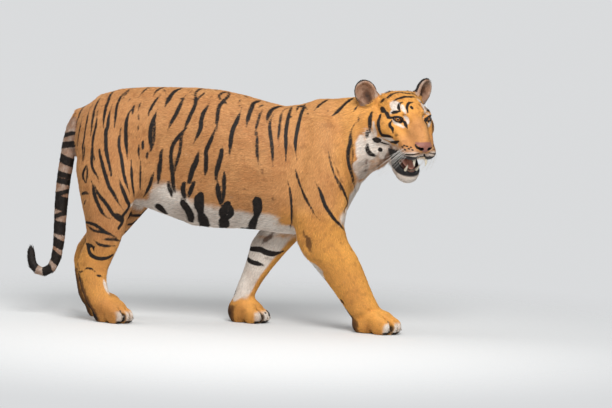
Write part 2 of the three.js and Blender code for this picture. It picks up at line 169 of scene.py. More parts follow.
# The thin cuts between the solids close up when the joined surface is taken a little outside.
close_up = 1.5
lattice = openvdb.createLinearTransform(voxelSize=STEP)
joined = openvdb.FloatGrid.createLevelSetFromPolygons(
    corners, triangles=triangles, transform=lattice, halfWidth=3
)
whole_points, whole_quads = joined.convertToQuads(isovalue=close_up)
joined = openvdb.FloatGrid.createLevelSetFromPolygons(
    whole_points, quads=whole_quads, transform=lattice, halfWidth=10
)
low_cell = np.floor(corners.min(0) / STEP).astype(int) - 12
high_cell = np.ceil(corners.max(0) / STEP).astype(int) + 12
flesh = np.empty(high_cell - low_cell, np.float32)
joined.copyToArray(flesh, ijk=tuple(int(v) for v in low_cell))
flesh += close_up


def softened(volume, spread):
    """The volume blurred by a bell curve of that spread, in cells."""
    reach = int(math.ceil(2.5 * spread))
    bell = np.exp(-0.5 * (np.arange(-reach, reach + 1) / spread) ** 2)
    bell /= bell.sum()
    for axis in range(3):
        blurred = np.zeros_like(volume)
        size = volume.shape[axis]
        for shift, weight in zip(range(-reach, reach + 1), bell):
            source = [slice(None)] * 3
            target = [slice(None)] * 3
            source[axis] = slice(max(0, shift), size + min(0, shift))
            target[axis] = slice(max(0, -shift), size + min(0, -shift))
            blurred[tuple(target)] += np.float32(weight) * volume[tuple(source)]
        volume = blurred
    return volume


flesh_soft = softened(flesh, 3.2)
flesh_firm = softened(flesh, 1.2)


def sampled(volume, points):
    """The volume's value at each point, in millimetres."""
    at = points / STEP - low_cell
    cell = np.clip(np.floor(at).astype(int), 0, np.array(volume.shape) - 2)
    part = np.clip(at - cell, 0, 1).astype(np.float32)
    x, y, z = cell.T
    u, v, w = part.T
    flat, (_, ny, nz) = volume.ravel(), volume.shape
    base = (x * ny + y) * nz + z
    value = 0
    for dx, su in ((0, 1 - u), (1, u)):
        for dy, sv in ((0, 1 - v), (1, v)):
            for dz, sw in ((0, 1 - w), (1, w)):
                value = value + su * sv * sw * flat[base + (dx * ny + dy) * nz + dz]
    return value


def rise(x, start, end):
    """0 before start, 1 after end, a smooth slope between."""
    t = np.clip((x - start) / (end - start), 0, 1)
    return t * t * (3 - 2 * t)


def rotation(yaw=0, pitch=0, roll=0):
    """Axes rolled about X, pitched nose-down about Y and then turned left about Z, in degrees."""
    z, y, x = (
        Matrix.Rotation(math.radians(angle), 3, axis)
        for angle, axis in ((yaw, "Z"), (pitch, "Y"), (roll, "X"))
    )
    return np.array(z @ y @ x)


def folded(points):
    """The points with the right side laid over the left, so that both are shaped alike."""
    return np.stack([points[:, 0], np.abs(points[:, 1]), points[:, 2]], 1)


midline = 25.5  # y of the animal's middle plane
head_at = np.array([729.9, -124.4, 856.0])  # midpoint between the eyeballs
head_axes = rotation(-56, 11, 2)
jaw_joint = np.array([-85.0, 0, -65])
jaw_axes = rotation(pitch=24)


def to_head(points):
    """Row coordinates to the head's own: +X to the nose, +Y to the left ear, +Z to the crown."""
    return (points - head_at) @ head_axes


def from_head(points):
    """Head coordinates back to the row's."""
    return np.asarray(points, float) @ head_axes.T + head_at


def to_jaw(points):
    """Head coordinates to the lower jaw's, in which the jaw is closed."""
    return (points - jaw_joint) @ jaw_axes + jaw_joint


def from_jaw(points):
    """The lower jaw's coordinates back to the head's."""
    return (np.asarray(points, float) - jaw_joint) @ jaw_axes.T + jaw_joint


def unit(*v):
    """That direction with a length of one."""
    return np.array(v, float) / np.linalg.norm(v)


def ball(p, at, radii, pitch=0.0, yaw=0.0):
    """About the distance to an ellipsoid, pitched nose-down and then turned left, in degrees."""
    q = (p - np.array(at, float)) @ rotation(yaw, pitch)
    radii = np.array(radii, float)
    near = np.linalg.norm(q / radii, axis=1)
    steep = np.linalg.norm(q / radii**2, axis=1)
    return near * (near - 1) / np.maximum(steep, 1e-6)


def rod(p, start, end, thick_start, thick_end=None):
    """Distance to a rod with round ends that may taper."""
    start, end = np.array(start, float), np.array(end, float)
    thick_end = thick_start if thick_end is None else thick_end
    along = end - start
    t = np.clip(((p - start) @ along) / (along @ along), 0, 1)
    return np.linalg.norm(p - start - t[:, None] * along, axis=1) - (
        thick_start + t * (thick_end - thick_start)
    )


def merge(a, b, soft):
    """Both shapes as one, with a fillet about that wide."""
    t = np.clip(0.5 + 0.5 * (b - a) / soft, 0, 1)
    return b + (a - b) * t - soft * t * (1 - t)


def carve(a, b, soft):
    """The first shape less the second."""
    return -merge(-a, b, soft)


eye_at, eye_radius = np.array([-8.0, 64, 0]), 18.0
eye_look = unit(0.87, 0.46, 0.05)
eye_across = unit(-0.46, 0.87, 0.2)  # from the inner corner of the lids to the outer
eye_across -= eye_look * (eye_across @ eye_look)
eye_across /= np.linalg.norm(eye_across)
eye_up = np.cross(eye_look, eye_across)


def lid_gap(p):
    """Distance to the edge of the lids' opening, negative in it. p has its Y made positive."""
    q = p - eye_at
    across, up = q @ eye_across, q @ eye_up
    bow = 1 - (across / 21.5) ** 2
    inner = 4 * rise(-across, 8, 19)  # the inner corner points down along the nose
    return np.maximum(up + inner - 6.5 * bow, -(up + inner) - 7.5 * bow) * 0.8


ear_at, ear_turn = np.array([-164, 130, 68]), rotation(22, roll=-26)


def ear_place(h):
    """Head coordinates to the ear's own: +X out of its cup, +Y outwards, +Z to its tip."""
    return (folded(h) - ear_at) @ ear_turn


def nostril(p):
    """Distance to the hollow of a nostril: a round pit that runs out to a slit at the side."""
    pit = ball(p, (114, 14, -92), (15, 7, 6.5), 10, 20)
    slit = rod(p, (114, 18, -93), (108, 30, -88), 6, 5)
    return np.minimum(np.minimum(pit, slit), rod(p, (108, 30, -88), (98, 37, -79), 5, 3))


def face_shape(h, flesh_value):
    """The flesh's distance with the features of the head worked into it. h is in head axes."""
    p, k = folded(h), folded(to_jaw(h))
    f = flesh_value

    # cheek skin behind the corner of the mouth, and the floor between the jaw bones
    f = merge(f, ball(p, (-46, 44, -128), (40, 24, 44), 30), 12)
    f = merge(f, ball(p, (-50, 0, -150), (44, 52, 40)), 14)
    f = merge(f, ball(k, (58, 0, -178), (34, 42, 30)), 8)

    # muzzle: the flat sides of the bridge, whisker pads, then the nose leather
    f = carve(f, ball(p, (78, 62, -58), (58, 24, 26), 34, -4), 16)
    f = carve(f, ball(p, (116, 0, -128), (15, 9, 30)), 8)
    f = carve(f, ball(p, (118, 46, -78), (22, 18, 14), 0, 30), 8)
    f = merge(f, ball(p, (66, 36, -114), (46, 33, 32), 6), 5)
    f = merge(f, ball(p, (44, 0, -26), (80, 31, 31), 36), 10)
    f = merge(f, ball(p, (101, 0, -78), (21, 30, 12), 14), 3)
    f = merge(f, ball(p, (101, 22, -84), (15, 11, 11), 0, 24), 5)
    f = merge(f, ball(p, (109, 0, -91), (12, 10, 15), -12), 4)
    f = carve(f, rod(p, (122, 0, -108), (110, 0, -150), 3.0, 2.5), 3)
    f = carve(f, rod(p, (124, 0, -80), (122, 0, -104), 1.6), 3)
    f = carve(f, nostril(p), 1.5)

    # brow, the hollow round the eye, cheekbone
    f = merge(f, ball(p, (-12, 50, 23), (20, 27, 12), 12), 12)
    f = carve(f, ball(p, (20, 42, 6), (17, 9, 14), 20, -20), 16)
    f = merge(f, ball(p, (-36, 84, -44), (46, 24, 26), 10, -30), 22)

    # lids
    q = p - eye_at
    from_eye = np.linalg.norm(q, axis=1)
    f = merge(f, from_eye - (eye_radius + 4.5), 7)
    pocket = np.maximum(lid_gap(p), np.maximum(eye_radius - 3 - from_eye, 4 - q @ eye_look))
    f = carve(f, pocket, 1.2)

    # mouth: teeth are pieces of their own, so what the solids have of them goes, and the lips
    # are left round a hollow for the tongue
    f = carve(f, rod(p, (78, 23, -152), (86, 23, -182), 12), 3)
    f = carve(f, rod(k, (67, 25, -136), (72, 26, -112), 11), 3)
    f = carve(f, ball(p, (28, 0, -146), (66, 34, 20), 16), 5)
    f = carve(f, ball(k, (22, 0, -142), (58, 33, 15), 2), 5)
    f = merge(f, rod(k, (74, 16, -152), (58, 36, -150), 4.5, 4.5), 5)
    f = merge(f, rod(k, (58, 36, -150), (10, 50, -143), 4.5, 4), 5)
    f = merge(f, rod(k, (74, 16, -152), (76, 0, -153), 4.5), 5)
    return f


def ear_shape(h, flesh_value):
    """A rounded, cupped ear with a thin rim, on the root that the solids give it."""
    e = ear_place(h)
    blade = ball(e, (0, 0, 0), (19, 43, 53))
    blade = merge(blade, ball(e, (-10, -10, -38), (24, 40, 30)), 14)
    blade = carve(blade, ball(e, (22, 2, 2), (28, 38, 48)), 2)
    blade = merge(blade, rod(e, (-3, 30, -38), (-1, 37, -12), 6, 3), 6)  # fold on the outer edge
    blade = merge(blade, rod(e, (-8, -8, -50), (-12, -4, -10), 9, 3), 8)  # ridge in the cup
    hollow = ball(e, (26, 3, -12), (30, 26, 34))
    return carve(merge(flesh_value, blade, 5), hollow, 4)


# Where each paw stands: its middle, its length, its width against a hind paw's, its splay.
paws = {
    "forepaw_right": ((606.9, -74.4), 200, 1.1, -22),
    "forepaw_left": ((69.9, 125.6), 172, 1.04, -12),
    "hindpaw_right": ((-452.1, -74.4), 170, 1.0, -22),
    "hindpaw_left": ((-513.1, 125.6), 166, 0.98, 14),
}
# Each toe's sideways place, and how far ahead its tip is as a share of the paw's length.
toe_places = ((-39, 0.37), (-13.5, 0.48), (12.5, 0.49), (37, 0.39))


def in_paw(points, paw):
    """Row coordinates to the paw's own: +X to its toes, from the floor under its middle."""
    (x, y), _, _, turn = paws[paw]
    c, s = math.cos(math.radians(turn)), math.sin(math.radians(turn))
    dx, dy = points[:, 0] - x, points[:, 1] - y
    return np.stack([c * dx + s * dy, c * dy - s * dx, points[:, 2]], 1)


def paw_shape(points, flesh_value):
    """Four toes on each paw, each arched over a round tip, parted by creases."""
    f = flesh_value
    for paw, (_, long, wide, _) in paws.items():
        q = in_paw(points, paw)
        near = (np.abs(q[:, 0]) < 170) & (np.abs(q[:, 1]) < 100)
        q, g = q[near], f[near]
        size = long / 182
        g = carve(g, np.maximum(-q[:, 0] - 0.04 * long, q[:, 2] - 92), 18)
        g = merge(g, ball(q, (-0.2 * long, 0, 46), (52 * size, 42 * wide, 46)), 22)
        g = merge(g, ball(q, (0.03 * long, 0, 56), (58 * size, 43 * wide, 39), 12), 22)
        toes = np.full(len(q), 99.0)
        for y, tip in toe_places:
            end = np.array((tip * long, y * wide, 0.0))
            toe = ball(q, end + (-34 * size, 0, 29 * size), (37 * size, 15.5 * wide, 32 * size))
            knuckle = ball(
                q, end + (-60 * size, -0.08 * y, 50 * size), (34 * size, 15.5 * wide, 30 * size), 20
            )
            toes = merge(toes, merge(toe, knuckle, 12), 2)
        g = merge(g, toes, 7)
        for (y, tip), (other, other_tip) in zip(toe_places, toe_places[1:]):
            crease = ball(
                q,
                ((tip + other_tip) / 2 * long - 12 * size, (y + other) / 2 * wide, 32 * size),
                (38 * size, 3.6, 46 * size),
                16,
            )
            g = carve(g, crease, 5)
        f[near] = np.maximum(g, -q[:, 2])
    return f


# Muscles and hollows that show through the coat: middle, size, nose-down pitch, height. The
# first list is alike on both sides; the limbs' own follow, since the stride moves them.
both_sides = (
    ((372, 138, 770), (42, 60, 130), -16, 6),  # shoulder blade
    ((340, 52, 935), (60, 30, 24), 0, 6),  # its top edge at the withers
    ((440, 120, 780), (34, 60, 110), -20, -8),  # hollow before the shoulder
    ((455, 128, 640), (44, 50, 62), 0, 7),  # point of the shoulder
    ((262, 178, 620), (26, 60, 120), 6, -8),  # hollow behind the upper arm
    ((150, 190, 640), (120, 60, 120), 0, 3),  # ribs
    ((-130, 160, 600), (90, 60, 100), 0, -4),  # loin
    ((-330, 150, 850), (60, 60, 46), 0, 5),  # hip bone
    ((-290, 165, 690), (56, 60, 90), -12, -9),  # hollow of the flank
    ((-505, 140, 820), (80, 60, 80), 0, 5),  # rump
    ((-600, 120, 700), (34, 60, 90), 8, 4),  # back of the thigh
    ((-545, 160, 610), (22, 60, 110), 10, -4),  # furrow down the thigh
)
one_side = (
    ((345, -170, 560), (62, 50, 80), 20, 6),  # reaching upper arm
    ((286, -160, 462), (26, 50, 26), 0, 7),  # its elbow
    ((435, -150, 440), (40, 60, 90), -20, 5),
    ((330, -150, 350), (16, 60, 80), -32, -4),
    ((-390, -160, 520), (40, 60, 90), 0, 6),  # supporting thigh
    ((-540, -130, 420), (40, 60, 70), -10, 5),  # its calf
    ((-540, -100, 300), (14, 60, 60), -20, -5),  # hollow before the hock's tendon
    ((180, 170, 480), (30, 50, 30), 0, 7),  # trailing elbow
    ((300, 180, 560), (50, 50, 70), 0, 6),
    ((-350, 170, 510), (40, 60, 90), 0, 6),  # passing thigh
    ((-520, 150, 410), (40, 60, 70), -10, 5),
)


def relief(points):
    """How far the muscles lift the skin, in millimetres."""
    lift = np.zeros(len(points))
    for p, muscles in ((folded(points), both_sides), (points, one_side)):
        for middle, size, pitch, height in muscles:
            c, s = math.cos(math.radians(pitch)), math.sin(math.radians(pitch))
            q = p - middle
            near = (np.abs(q) < 2.2 * max(size)).all(1)
            x, y, z = q[near].T
            along, up = c * x - s * z, s * x + c * z
            square = (along / size[0]) ** 2 + (y / size[1]) ** 2 + (up / size[2]) ** 2
            lift[near] += height * np.exp(-square)
    return lift


def coat_depth(points):
    """How deep the coat is over the skin at each point, in millimetres."""
    x, y, z = points.T
    h = to_head(points)
    depth = np.full(len(points), 6.0)
    depth += 4 * rise(-z, -470, -400) * rise(x, -520, -400) * rise(-x, -330, -200)  # belly
    depth -= 2 * rise(-z, -420, -300)  # legs
    depth -= 2 * rise(-z, -110, -60)  # feet
    on_head = rise(h[:, 0], -170, -110) * rise(-np.abs(h[:, 1]), -300, -150)
    face = on_head * rise(h[:, 0], -90, -20)
    depth = depth * (1 - on_head) + 6 * on_head
    depth = depth * (1 - face) + 2.5 * face
    depth += 5 * on_head * rise(-h[:, 2], 20, 90) * (1 - rise(h[:, 0], -70, -20))  # ruff
    e = ear_place(h)
    on_ear = 1 - rise(np.linalg.norm(e / (24, 50, 60), axis=1), 1, 1.4)
    depth = depth * (1 - on_ear) + 3 * on_ear
    depth = np.where(x < -600, depth + (1.0 - depth) * rise(-x, 600, 650), depth)  # tail
    depth *= rise(z, 1, 14)  # the soles are bare
    return depth


def skin_field(points):
    """Signed distance to the skin, negative inside, in millimetres."""
    h = to_head(points)
    firm = rise(h[:, 0], -190, -140) * rise(points[:, 2], 450, 550)
    firm = np.maximum(firm, rise(-points[:, 0], 590, 640))
    value = sampled(flesh_soft, points) * (1 - firm) + sampled(flesh_firm, points) * firm
    value = value + coat_depth(points)
    value -= relief(points) * (1 - rise(h[:, 0], -270, -190) * rise(points[:, 2], 480, 640))
    near = (h[:, 0] > -240) & (points[:, 2] > 560)
    value[near] = face_shape(h[near], value[near])
    value[near] = ear_shape(h[near], value[near])
    low = points[:, 2] < 150
    value[low] = paw_shape(points[low], value[low])
    return value


def meshed(low, high, step):
    """The skin between two corners as a bmesh of quads, at that step."""
    low, high = np.asarray(low, float), np.asarray(high, float)
    shape = np.ceil((high - low) / step).astype(int) + 1
    axes = [low[k] + step * np.arange(shape[k]) for k in range(3)]
    values = np.empty(shape, np.float32)
    for i, x in enumerate(axes[0]):
        plane = np.stack(np.meshgrid([x], axes[1], axes[2], indexing="ij"), -1).reshape(-1, 3)
        values[i] = skin_field(plane).reshape(shape[1:])
    grid = openvdb.FloatGrid(3.0 * step)
    grid.copyFromArray(np.clip(values, -3 * step, 3 * step))
    grid.transform = openvdb.createLinearTransform(voxelSize=step)
    points, quads = grid.convertToQuads(isovalue=0)
    made = bpy.data.meshes.new("part")
    made.from_pydata(points + low, [], quads[:, ::-1].tolist())
    shape = bmesh.new()
    shape.from_mesh(made)
    bpy.data.meshes.remove(made)
    return shape


# Body at a coarse step and head at a fine one, cut square across the neck and sewn together.
neck_cut, neck_way = Vector((575, -25, 800)), Vector((0.86, -0.3, 0.42)).normalized()
body_step, head_step = 9, 3.6
body = meshed(corners.min(0) - 15, corners.max(0) + 15, body_step)
ahead = [f for f in body.faces if f.calc_center_median().x > 400 and f.calc_center_median().z > 450]
ahead_parts = list(ahead)  # each part once, in an order that every run repeats
ahead_parts += list(dict.fromkeys(e for f in ahead for e in f.edges))
ahead_parts += list(dict.fromkeys(v for f in ahead for v in f.verts))
bmesh.ops.bisect_plane(
    body, geom=ahead_parts, dist=1e-3, plane_co=neck_cut, plane_no=neck_way, clear_outer=True
)
head_box = [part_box(name) for name in ("head", "jaw", "nose", "ear_right", "ear_left")]
head_low = np.min([b[0] for b in head_box], 0) / MM - 30
head_high = np.max([b[1] for b in head_box], 0) / MM + 15
head = meshed(head_low, head_high, head_step)
bmesh.ops.bisect_plane(
    head, geom=head.verts[:] + head.edges[:] + head.faces[:], dist=1e-3,
    plane_co=neck_cut, plane_no=neck_way, clear_inner=True,
)
sewn = bpy.data.meshes.new("head_half")
head.to_mesh(sewn)
body.from_mesh(sewn)
head.free()
bpy.data.meshes.remove(sewn)


def open_loops(shape):
    """Each open rim of the shape as its vertices in order."""
    edges = dict.fromkeys(e for e in shape.edges if e.is_boundary)  # a set that keeps its order
    loops = []
    while edges:
        edge, _ = edges.popitem()
        loop = [edge.verts[0], edge.verts[1]]
        while True:
            step = next((e for e in loop[-1].link_edges if e in edges), None)
            if step is None:
                break
            del edges[step]
            following = step.other_vert(loop[-1])
            if following is loop[0]:
                break
            loop.append(following)
        loops.append(loop)
    return sorted(loops, key=len)


def turned_about(loop, way):
    """True if the loop runs anticlockwise round that direction."""
    middle = sum((v.co for v in loop), Vector()) / len(loop)
    area = sum(((a.co - middle).cross(b.co - middle) for a, b in zip(loop, loop[1:])), Vector())
    return area.dot(way) > 0


rims = open_loops(body)
short, long = rims[-2:]
for rim in (short, long):
    if not turned_about(rim, neck_way):
        rim.reverse()
first = min(range(len(long)), key=lambda k: (long[k].co - short[0].co).length)
long = long[first:] + long[:first]
i = j = 0
while i < len(short) or j < len(long):
    a, b = short[i % len(short)], long[j % len(long)]
    c, d = short[(i + 1) % len(short)], long[(j + 1) % len(long)]
    if j == len(long) or (i < len(short) and (c.co - b.co).length < (d.co - a.co).length):
        body.faces.new((a, b, c))
        i += 1
    else:
        body.faces.new((a, b, d))
        j += 1
bmesh.ops.recalc_face_normals(body, faces=body.faces[:])


def neighbour_sum(values, pairs):
    """For each vertex the sum of its neighbours' values. The pairs are the edges' ends."""
    a, b = pairs.T
    return np.stack(
        [
            np.bincount(a, column[b], len(values)) + np.bincount(b, column[a], len(values))
            for column in values.T
        ],
        1,
    )


def drawn_in(shape, rounds, reach=0.6, only=None):
    """Moves vertices onto the skin field's zero, evening out the spacing on the way."""
    shape.verts.ensure_lookup_table()
    shape.verts.index_update()
    points = np.array([v.co for v in shape.verts])
    chosen = np.arange(len(points)) if only is None else only(points)
    pairs = np.array([[e.verts[0].index, e.verts[1].index] for e in shape.edges])
    for _ in range(rounds):
        total = neighbour_sum(points, pairs)
        even = 0.4 * (total / np.bincount(pairs.ravel(), minlength=len(points))[:, None] - points)
        even, here = even[chosen], points[chosen]
        slope = np.stack(
            [skin_field(here + d) - skin_field(here - d) for d in np.eye(3) * reach], 1
        ) / (2 * reach)
        steep = np.maximum((slope**2).sum(1), 0.2)
        way = slope / np.sqrt(steep)[:, None]
        here = here + even - way * (even * way).sum(1)[:, None]
        here -= slope * (np.clip(skin_field(here), -4, 4) / steep)[:, None]
        points[chosen] = here
    for vertex, place in zip(shape.verts, points):
        vertex.co = place


def fine_places(points):
    """The points round the eyes, nose and lips, as indices."""
    h = to_head(points)
    p, j = folded(h), to_jaw(h)
    eye = np.linalg.norm((p - eye_at) / (1, 1.2, 1), axis=1) < 27
    nose = ball(p, (108, 0, -92), (34, 46, 30)) < 0
    lips = (p[:, 0] > 20) & (np.abs(j[:, 2] + 150) < 9) & (points[:, 2] > 500)
    return np.nonzero((eye & (h[:, 0] > -24)) | nose | lips)[0]


def toe_tips(points):
    """The points on the front half of each paw, as indices."""
    found = np.zeros(len(points), bool)
    for paw, (_, long, _, _) in paws.items():
        q = in_paw(points, paw)
        ahead, aside, up = q[:, 0], np.abs(q[:, 1]), q[:, 2]
        found |= (ahead > -0.05 * long) & (ahead < 130) & (aside < 80) & (up < 75)
    return np.nonzero(found)[0]


drawn_in(body, 3)
for places in (fine_places, toe_tips):
    body.verts.ensure_lookup_table()
    fine = set(places(np.array([v.co for v in body.verts])).tolist())
    bmesh.ops.subdivide_edges(
        body,
        edges=[e for e in body.edges if e.verts[0].index in fine and e.verts[1].index in fine],
        cuts=1,
        use_grid_fill=True,
    )
    drawn_in(body, 3, only=places)

for vertex in body.verts:
    vertex.co *= MM
skin_mesh = bpy.data.meshes.new("skin")
body.to_mesh(skin_mesh)
body.free()
skin_mesh.shade_smooth()
skin = in_scene("skin", skin_mesh)
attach(skin, "root")
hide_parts(*flesh_nodes)

# Its own unwrap, on which the coat's pieces lay their tufts too.
skin_mesh.uv_layers.new(name="OFBake")
bpy.context.view_layer.objects.active = skin
skin.select_set(True)
bpy.ops.object.mode_set(mode="EDIT")
bpy.ops.mesh.select_all(action="SELECT")
bpy.ops.uv.smart_project(angle_limit=math.radians(75), island_margin=0.002)
bpy.ops.object.mode_set(mode="OBJECT")
skin.select_set(False)

places = read(skin_mesh.vertices, "co", 3) / MM
normals = read(skin_mesh.vertex_normals, "vector", 3)
skin_mesh.calc_loop_triangles()
skin_faces = read(skin_mesh.loop_triangles, "vertices", 3, np.int32)
skin_loops = read(skin_mesh.loop_triangles, "loops", 3, np.int32)
face_unwrap = read(skin_mesh.uv_layers["OFBake"].data, "uv", 2)[skin_loops]
skin_tree = BVHTree.FromPolygons(places.tolist(), skin_faces.tolist())


# ---- Lie of the coat ----------------------------------------------------------------------------
# Which way the hair runs and how long it is, from the solid of flesh each place belongs to,
# smoothed over the skin. It runs back along the trunk, down the legs, out from the nose.
flesh_tree = BVHTree.FromPolygons(corners.tolist(), triangles.tolist())
flesh_owner = np.repeat(np.arange(len(flesh_nodes)), flesh_sizes)
owner = np.array([flesh_owner[flesh_tree.find_nearest(p)[2]] for p in places.tolist()])
hair_ways = {  # direction and length in mm
    "chest": ((-1, 0, -0.3), 17),
    "loin": ((-1, 0, -0.25), 17),
    "rump": ((-0.85, 0, -0.6), 16),
    "neck": ((-0.85, 0, -0.5), 20),
    "shoulder": ((-0.35, 0, -1), 15),
    "thigh": ((-0.35, 0, -1), 15),
    "shank": ((-0.15, 0, -1), 12),
    "hock": ((-0.1, 0, -1), 10),
    "hindpaw": ((1, 0, -0.5), 7),
    "forearm_right": ((0.45, 0, -1), 11),
    "forearm_left": ((-0.3, 0, -1), 11),
    "forepaw": ((1, 0, -0.5), 7),
    "tail": ((0, 0, -1), 17),
    "head": ((-1, 0, 0), 12),
    "jaw": ((-1, 0, 0), 12),
    "nose": ((-1, 0, 0), 3),
    "ear": ((0, 0, 1), 10),
}
node_way = np.zeros((len(flesh_nodes), 4))
for k, name in enumerate(flesh_nodes):
    way, length = next(v for start, v in hair_ways.items() if name.startswith(start))
    node_way[k] = (*unit(*way), length)


def owned(*starts):
    """1 where the skin belongs to a solid whose name starts so, 0 elsewhere."""
    mine = [k for k, name in enumerate(flesh_nodes) if name.startswith(starts)]
    return np.isin(owner, mine).astype(float)


def smoothed(values, rounds):
    """Values on the skin's vertices, spread to their neighbours so many times."""
    for _ in range(rounds):
        values = 0.4 * values + 0.6 * neighbour_sum(values, edge_ends) / edge_count[:, None]
    return values


edge_ends = read(skin_mesh.edges, "vertices", 2, np.int32)
edge_count = np.maximum(np.bincount(edge_ends.ravel(), minlength=len(places)), 1)

# The tail's middle line from the rump to the tip.
tail_line = np.array((
    (-548, 846), (-608, 822), (-648, 752), (-666, 670), (-680, 580), (-690, 480), (-694, 375),
    (-700, 272), (-720, 205), (-758, 182), (-794, 198), (-808, 234), (-810, 270),
), float)  # fmt: skip
tail_joints = np.arange(len(tail_line))
tail_finely = np.linspace(0, len(tail_line) - 1, 481)
tail_spots = np.stack([np.interp(tail_finely, tail_joints, c) for c in tail_line.T], 1)
tail_steps = np.linalg.norm(np.diff(tail_spots, axis=0), axis=1)
tail_reach = np.concatenate([[0], np.cumsum(tail_steps)])


def on_tail(points):
    """The nearest place on the tail's middle line: its number and its distance from the rump."""
    near = np.empty(len(points), int)
    for start in range(0, len(points), 4000):
        part = points[start : start + 4000][:, [0, 2]]
        near[start : start + 4000] = ((part[:, None] - tail_spots) ** 2).sum(2).argmin(1)
    return near, tail_reach[near]


regions = {
    "head": owned("head", "jaw", "nose", "ear"),
    "ear": owned("ear"),
    "tail": owned("tail"),
    "trunk": owned("chest", "loin", "rump", "neck"),
    "fore": owned("shoulder", "forearm", "forepaw"),
    "hind": owned("thigh", "shank", "hock", "hindpaw"),
    "foot": owned("hock", "hindpaw", "forepaw"),
}
growth = node_way[owner]
in_head = to_head(places)
from_nose = in_head - (122, 0, -66)
from_nose /= np.linalg.norm(from_nose, axis=1)[:, None]
head_way = (from_nose + (0, 0, -0.15)) @ head_axes.T
ear_up = np.tile(ear_turn[:, 2], (len(places), 1))
ear_up[:, 1] *= np.sign(in_head[:, 1])
ear_up = ear_up @ head_axes.T
is_head, is_ear, is_tail = (regions[k] > 0.5 for k in ("head", "ear", "tail"))
growth[is_head, :3] = head_way[is_head]
growth[is_ear, :3] = ear_up[is_ear]
tail_spot, _ = on_tail(places[is_tail])
tail_spot = np.clip(tail_spot, 1, len(tail_spots) - 2)
tail_way = tail_spots[tail_spot + 1] - tail_spots[tail_spot - 1]
tail_way /= np.linalg.norm(tail_way, axis=1)[:, None]
growth[is_tail, 0], growth[is_tail, 1], growth[is_tail, 2] = tail_way[:, 0], 0, tail_way[:, 1]
growth = smoothed(growth, 25)
regions = dict(zip(regions, smoothed(np.stack(list(regions.values()), 1), 8).T))

# On the head the hair's length grows away from the nose, into a ruff on the cheeks.
x, y, z = in_head.T
far = np.linalg.norm(in_head - (108, 0, -82), axis=1)
face_length = np.interp(far, (10, 40, 75, 130, 190, 250), (2.5, 3.5, 4.5, 6, 9, 15))
ruff = rise(-x, 25, 85) * rise(np.abs(y), 60, 105) * rise(-z, 10, 70)
throat = rise(-x, -10, 60) * rise(-z, 130, 190)
face_length = np.maximum(face_length, 26 * np.maximum(ruff, throat))
face_length = face_length * (1 - regions["ear"]) + 9 * regions["ear"]
hair_length = growth[:, 3] * (1 - regions["head"]) + face_length * regions["head"]
belly = regions["trunk"] * rise(-normals[:, 2], 0.2, 0.8)
hair_length = hair_length * (1 + 0.25 * belly)
lie = growth[:, :3] - normals * (growth[:, :3] * normals).sum(1)[:, None]
lie /= np.maximum(np.linalg.norm(lie, axis=1), 1e-6)[:, None]


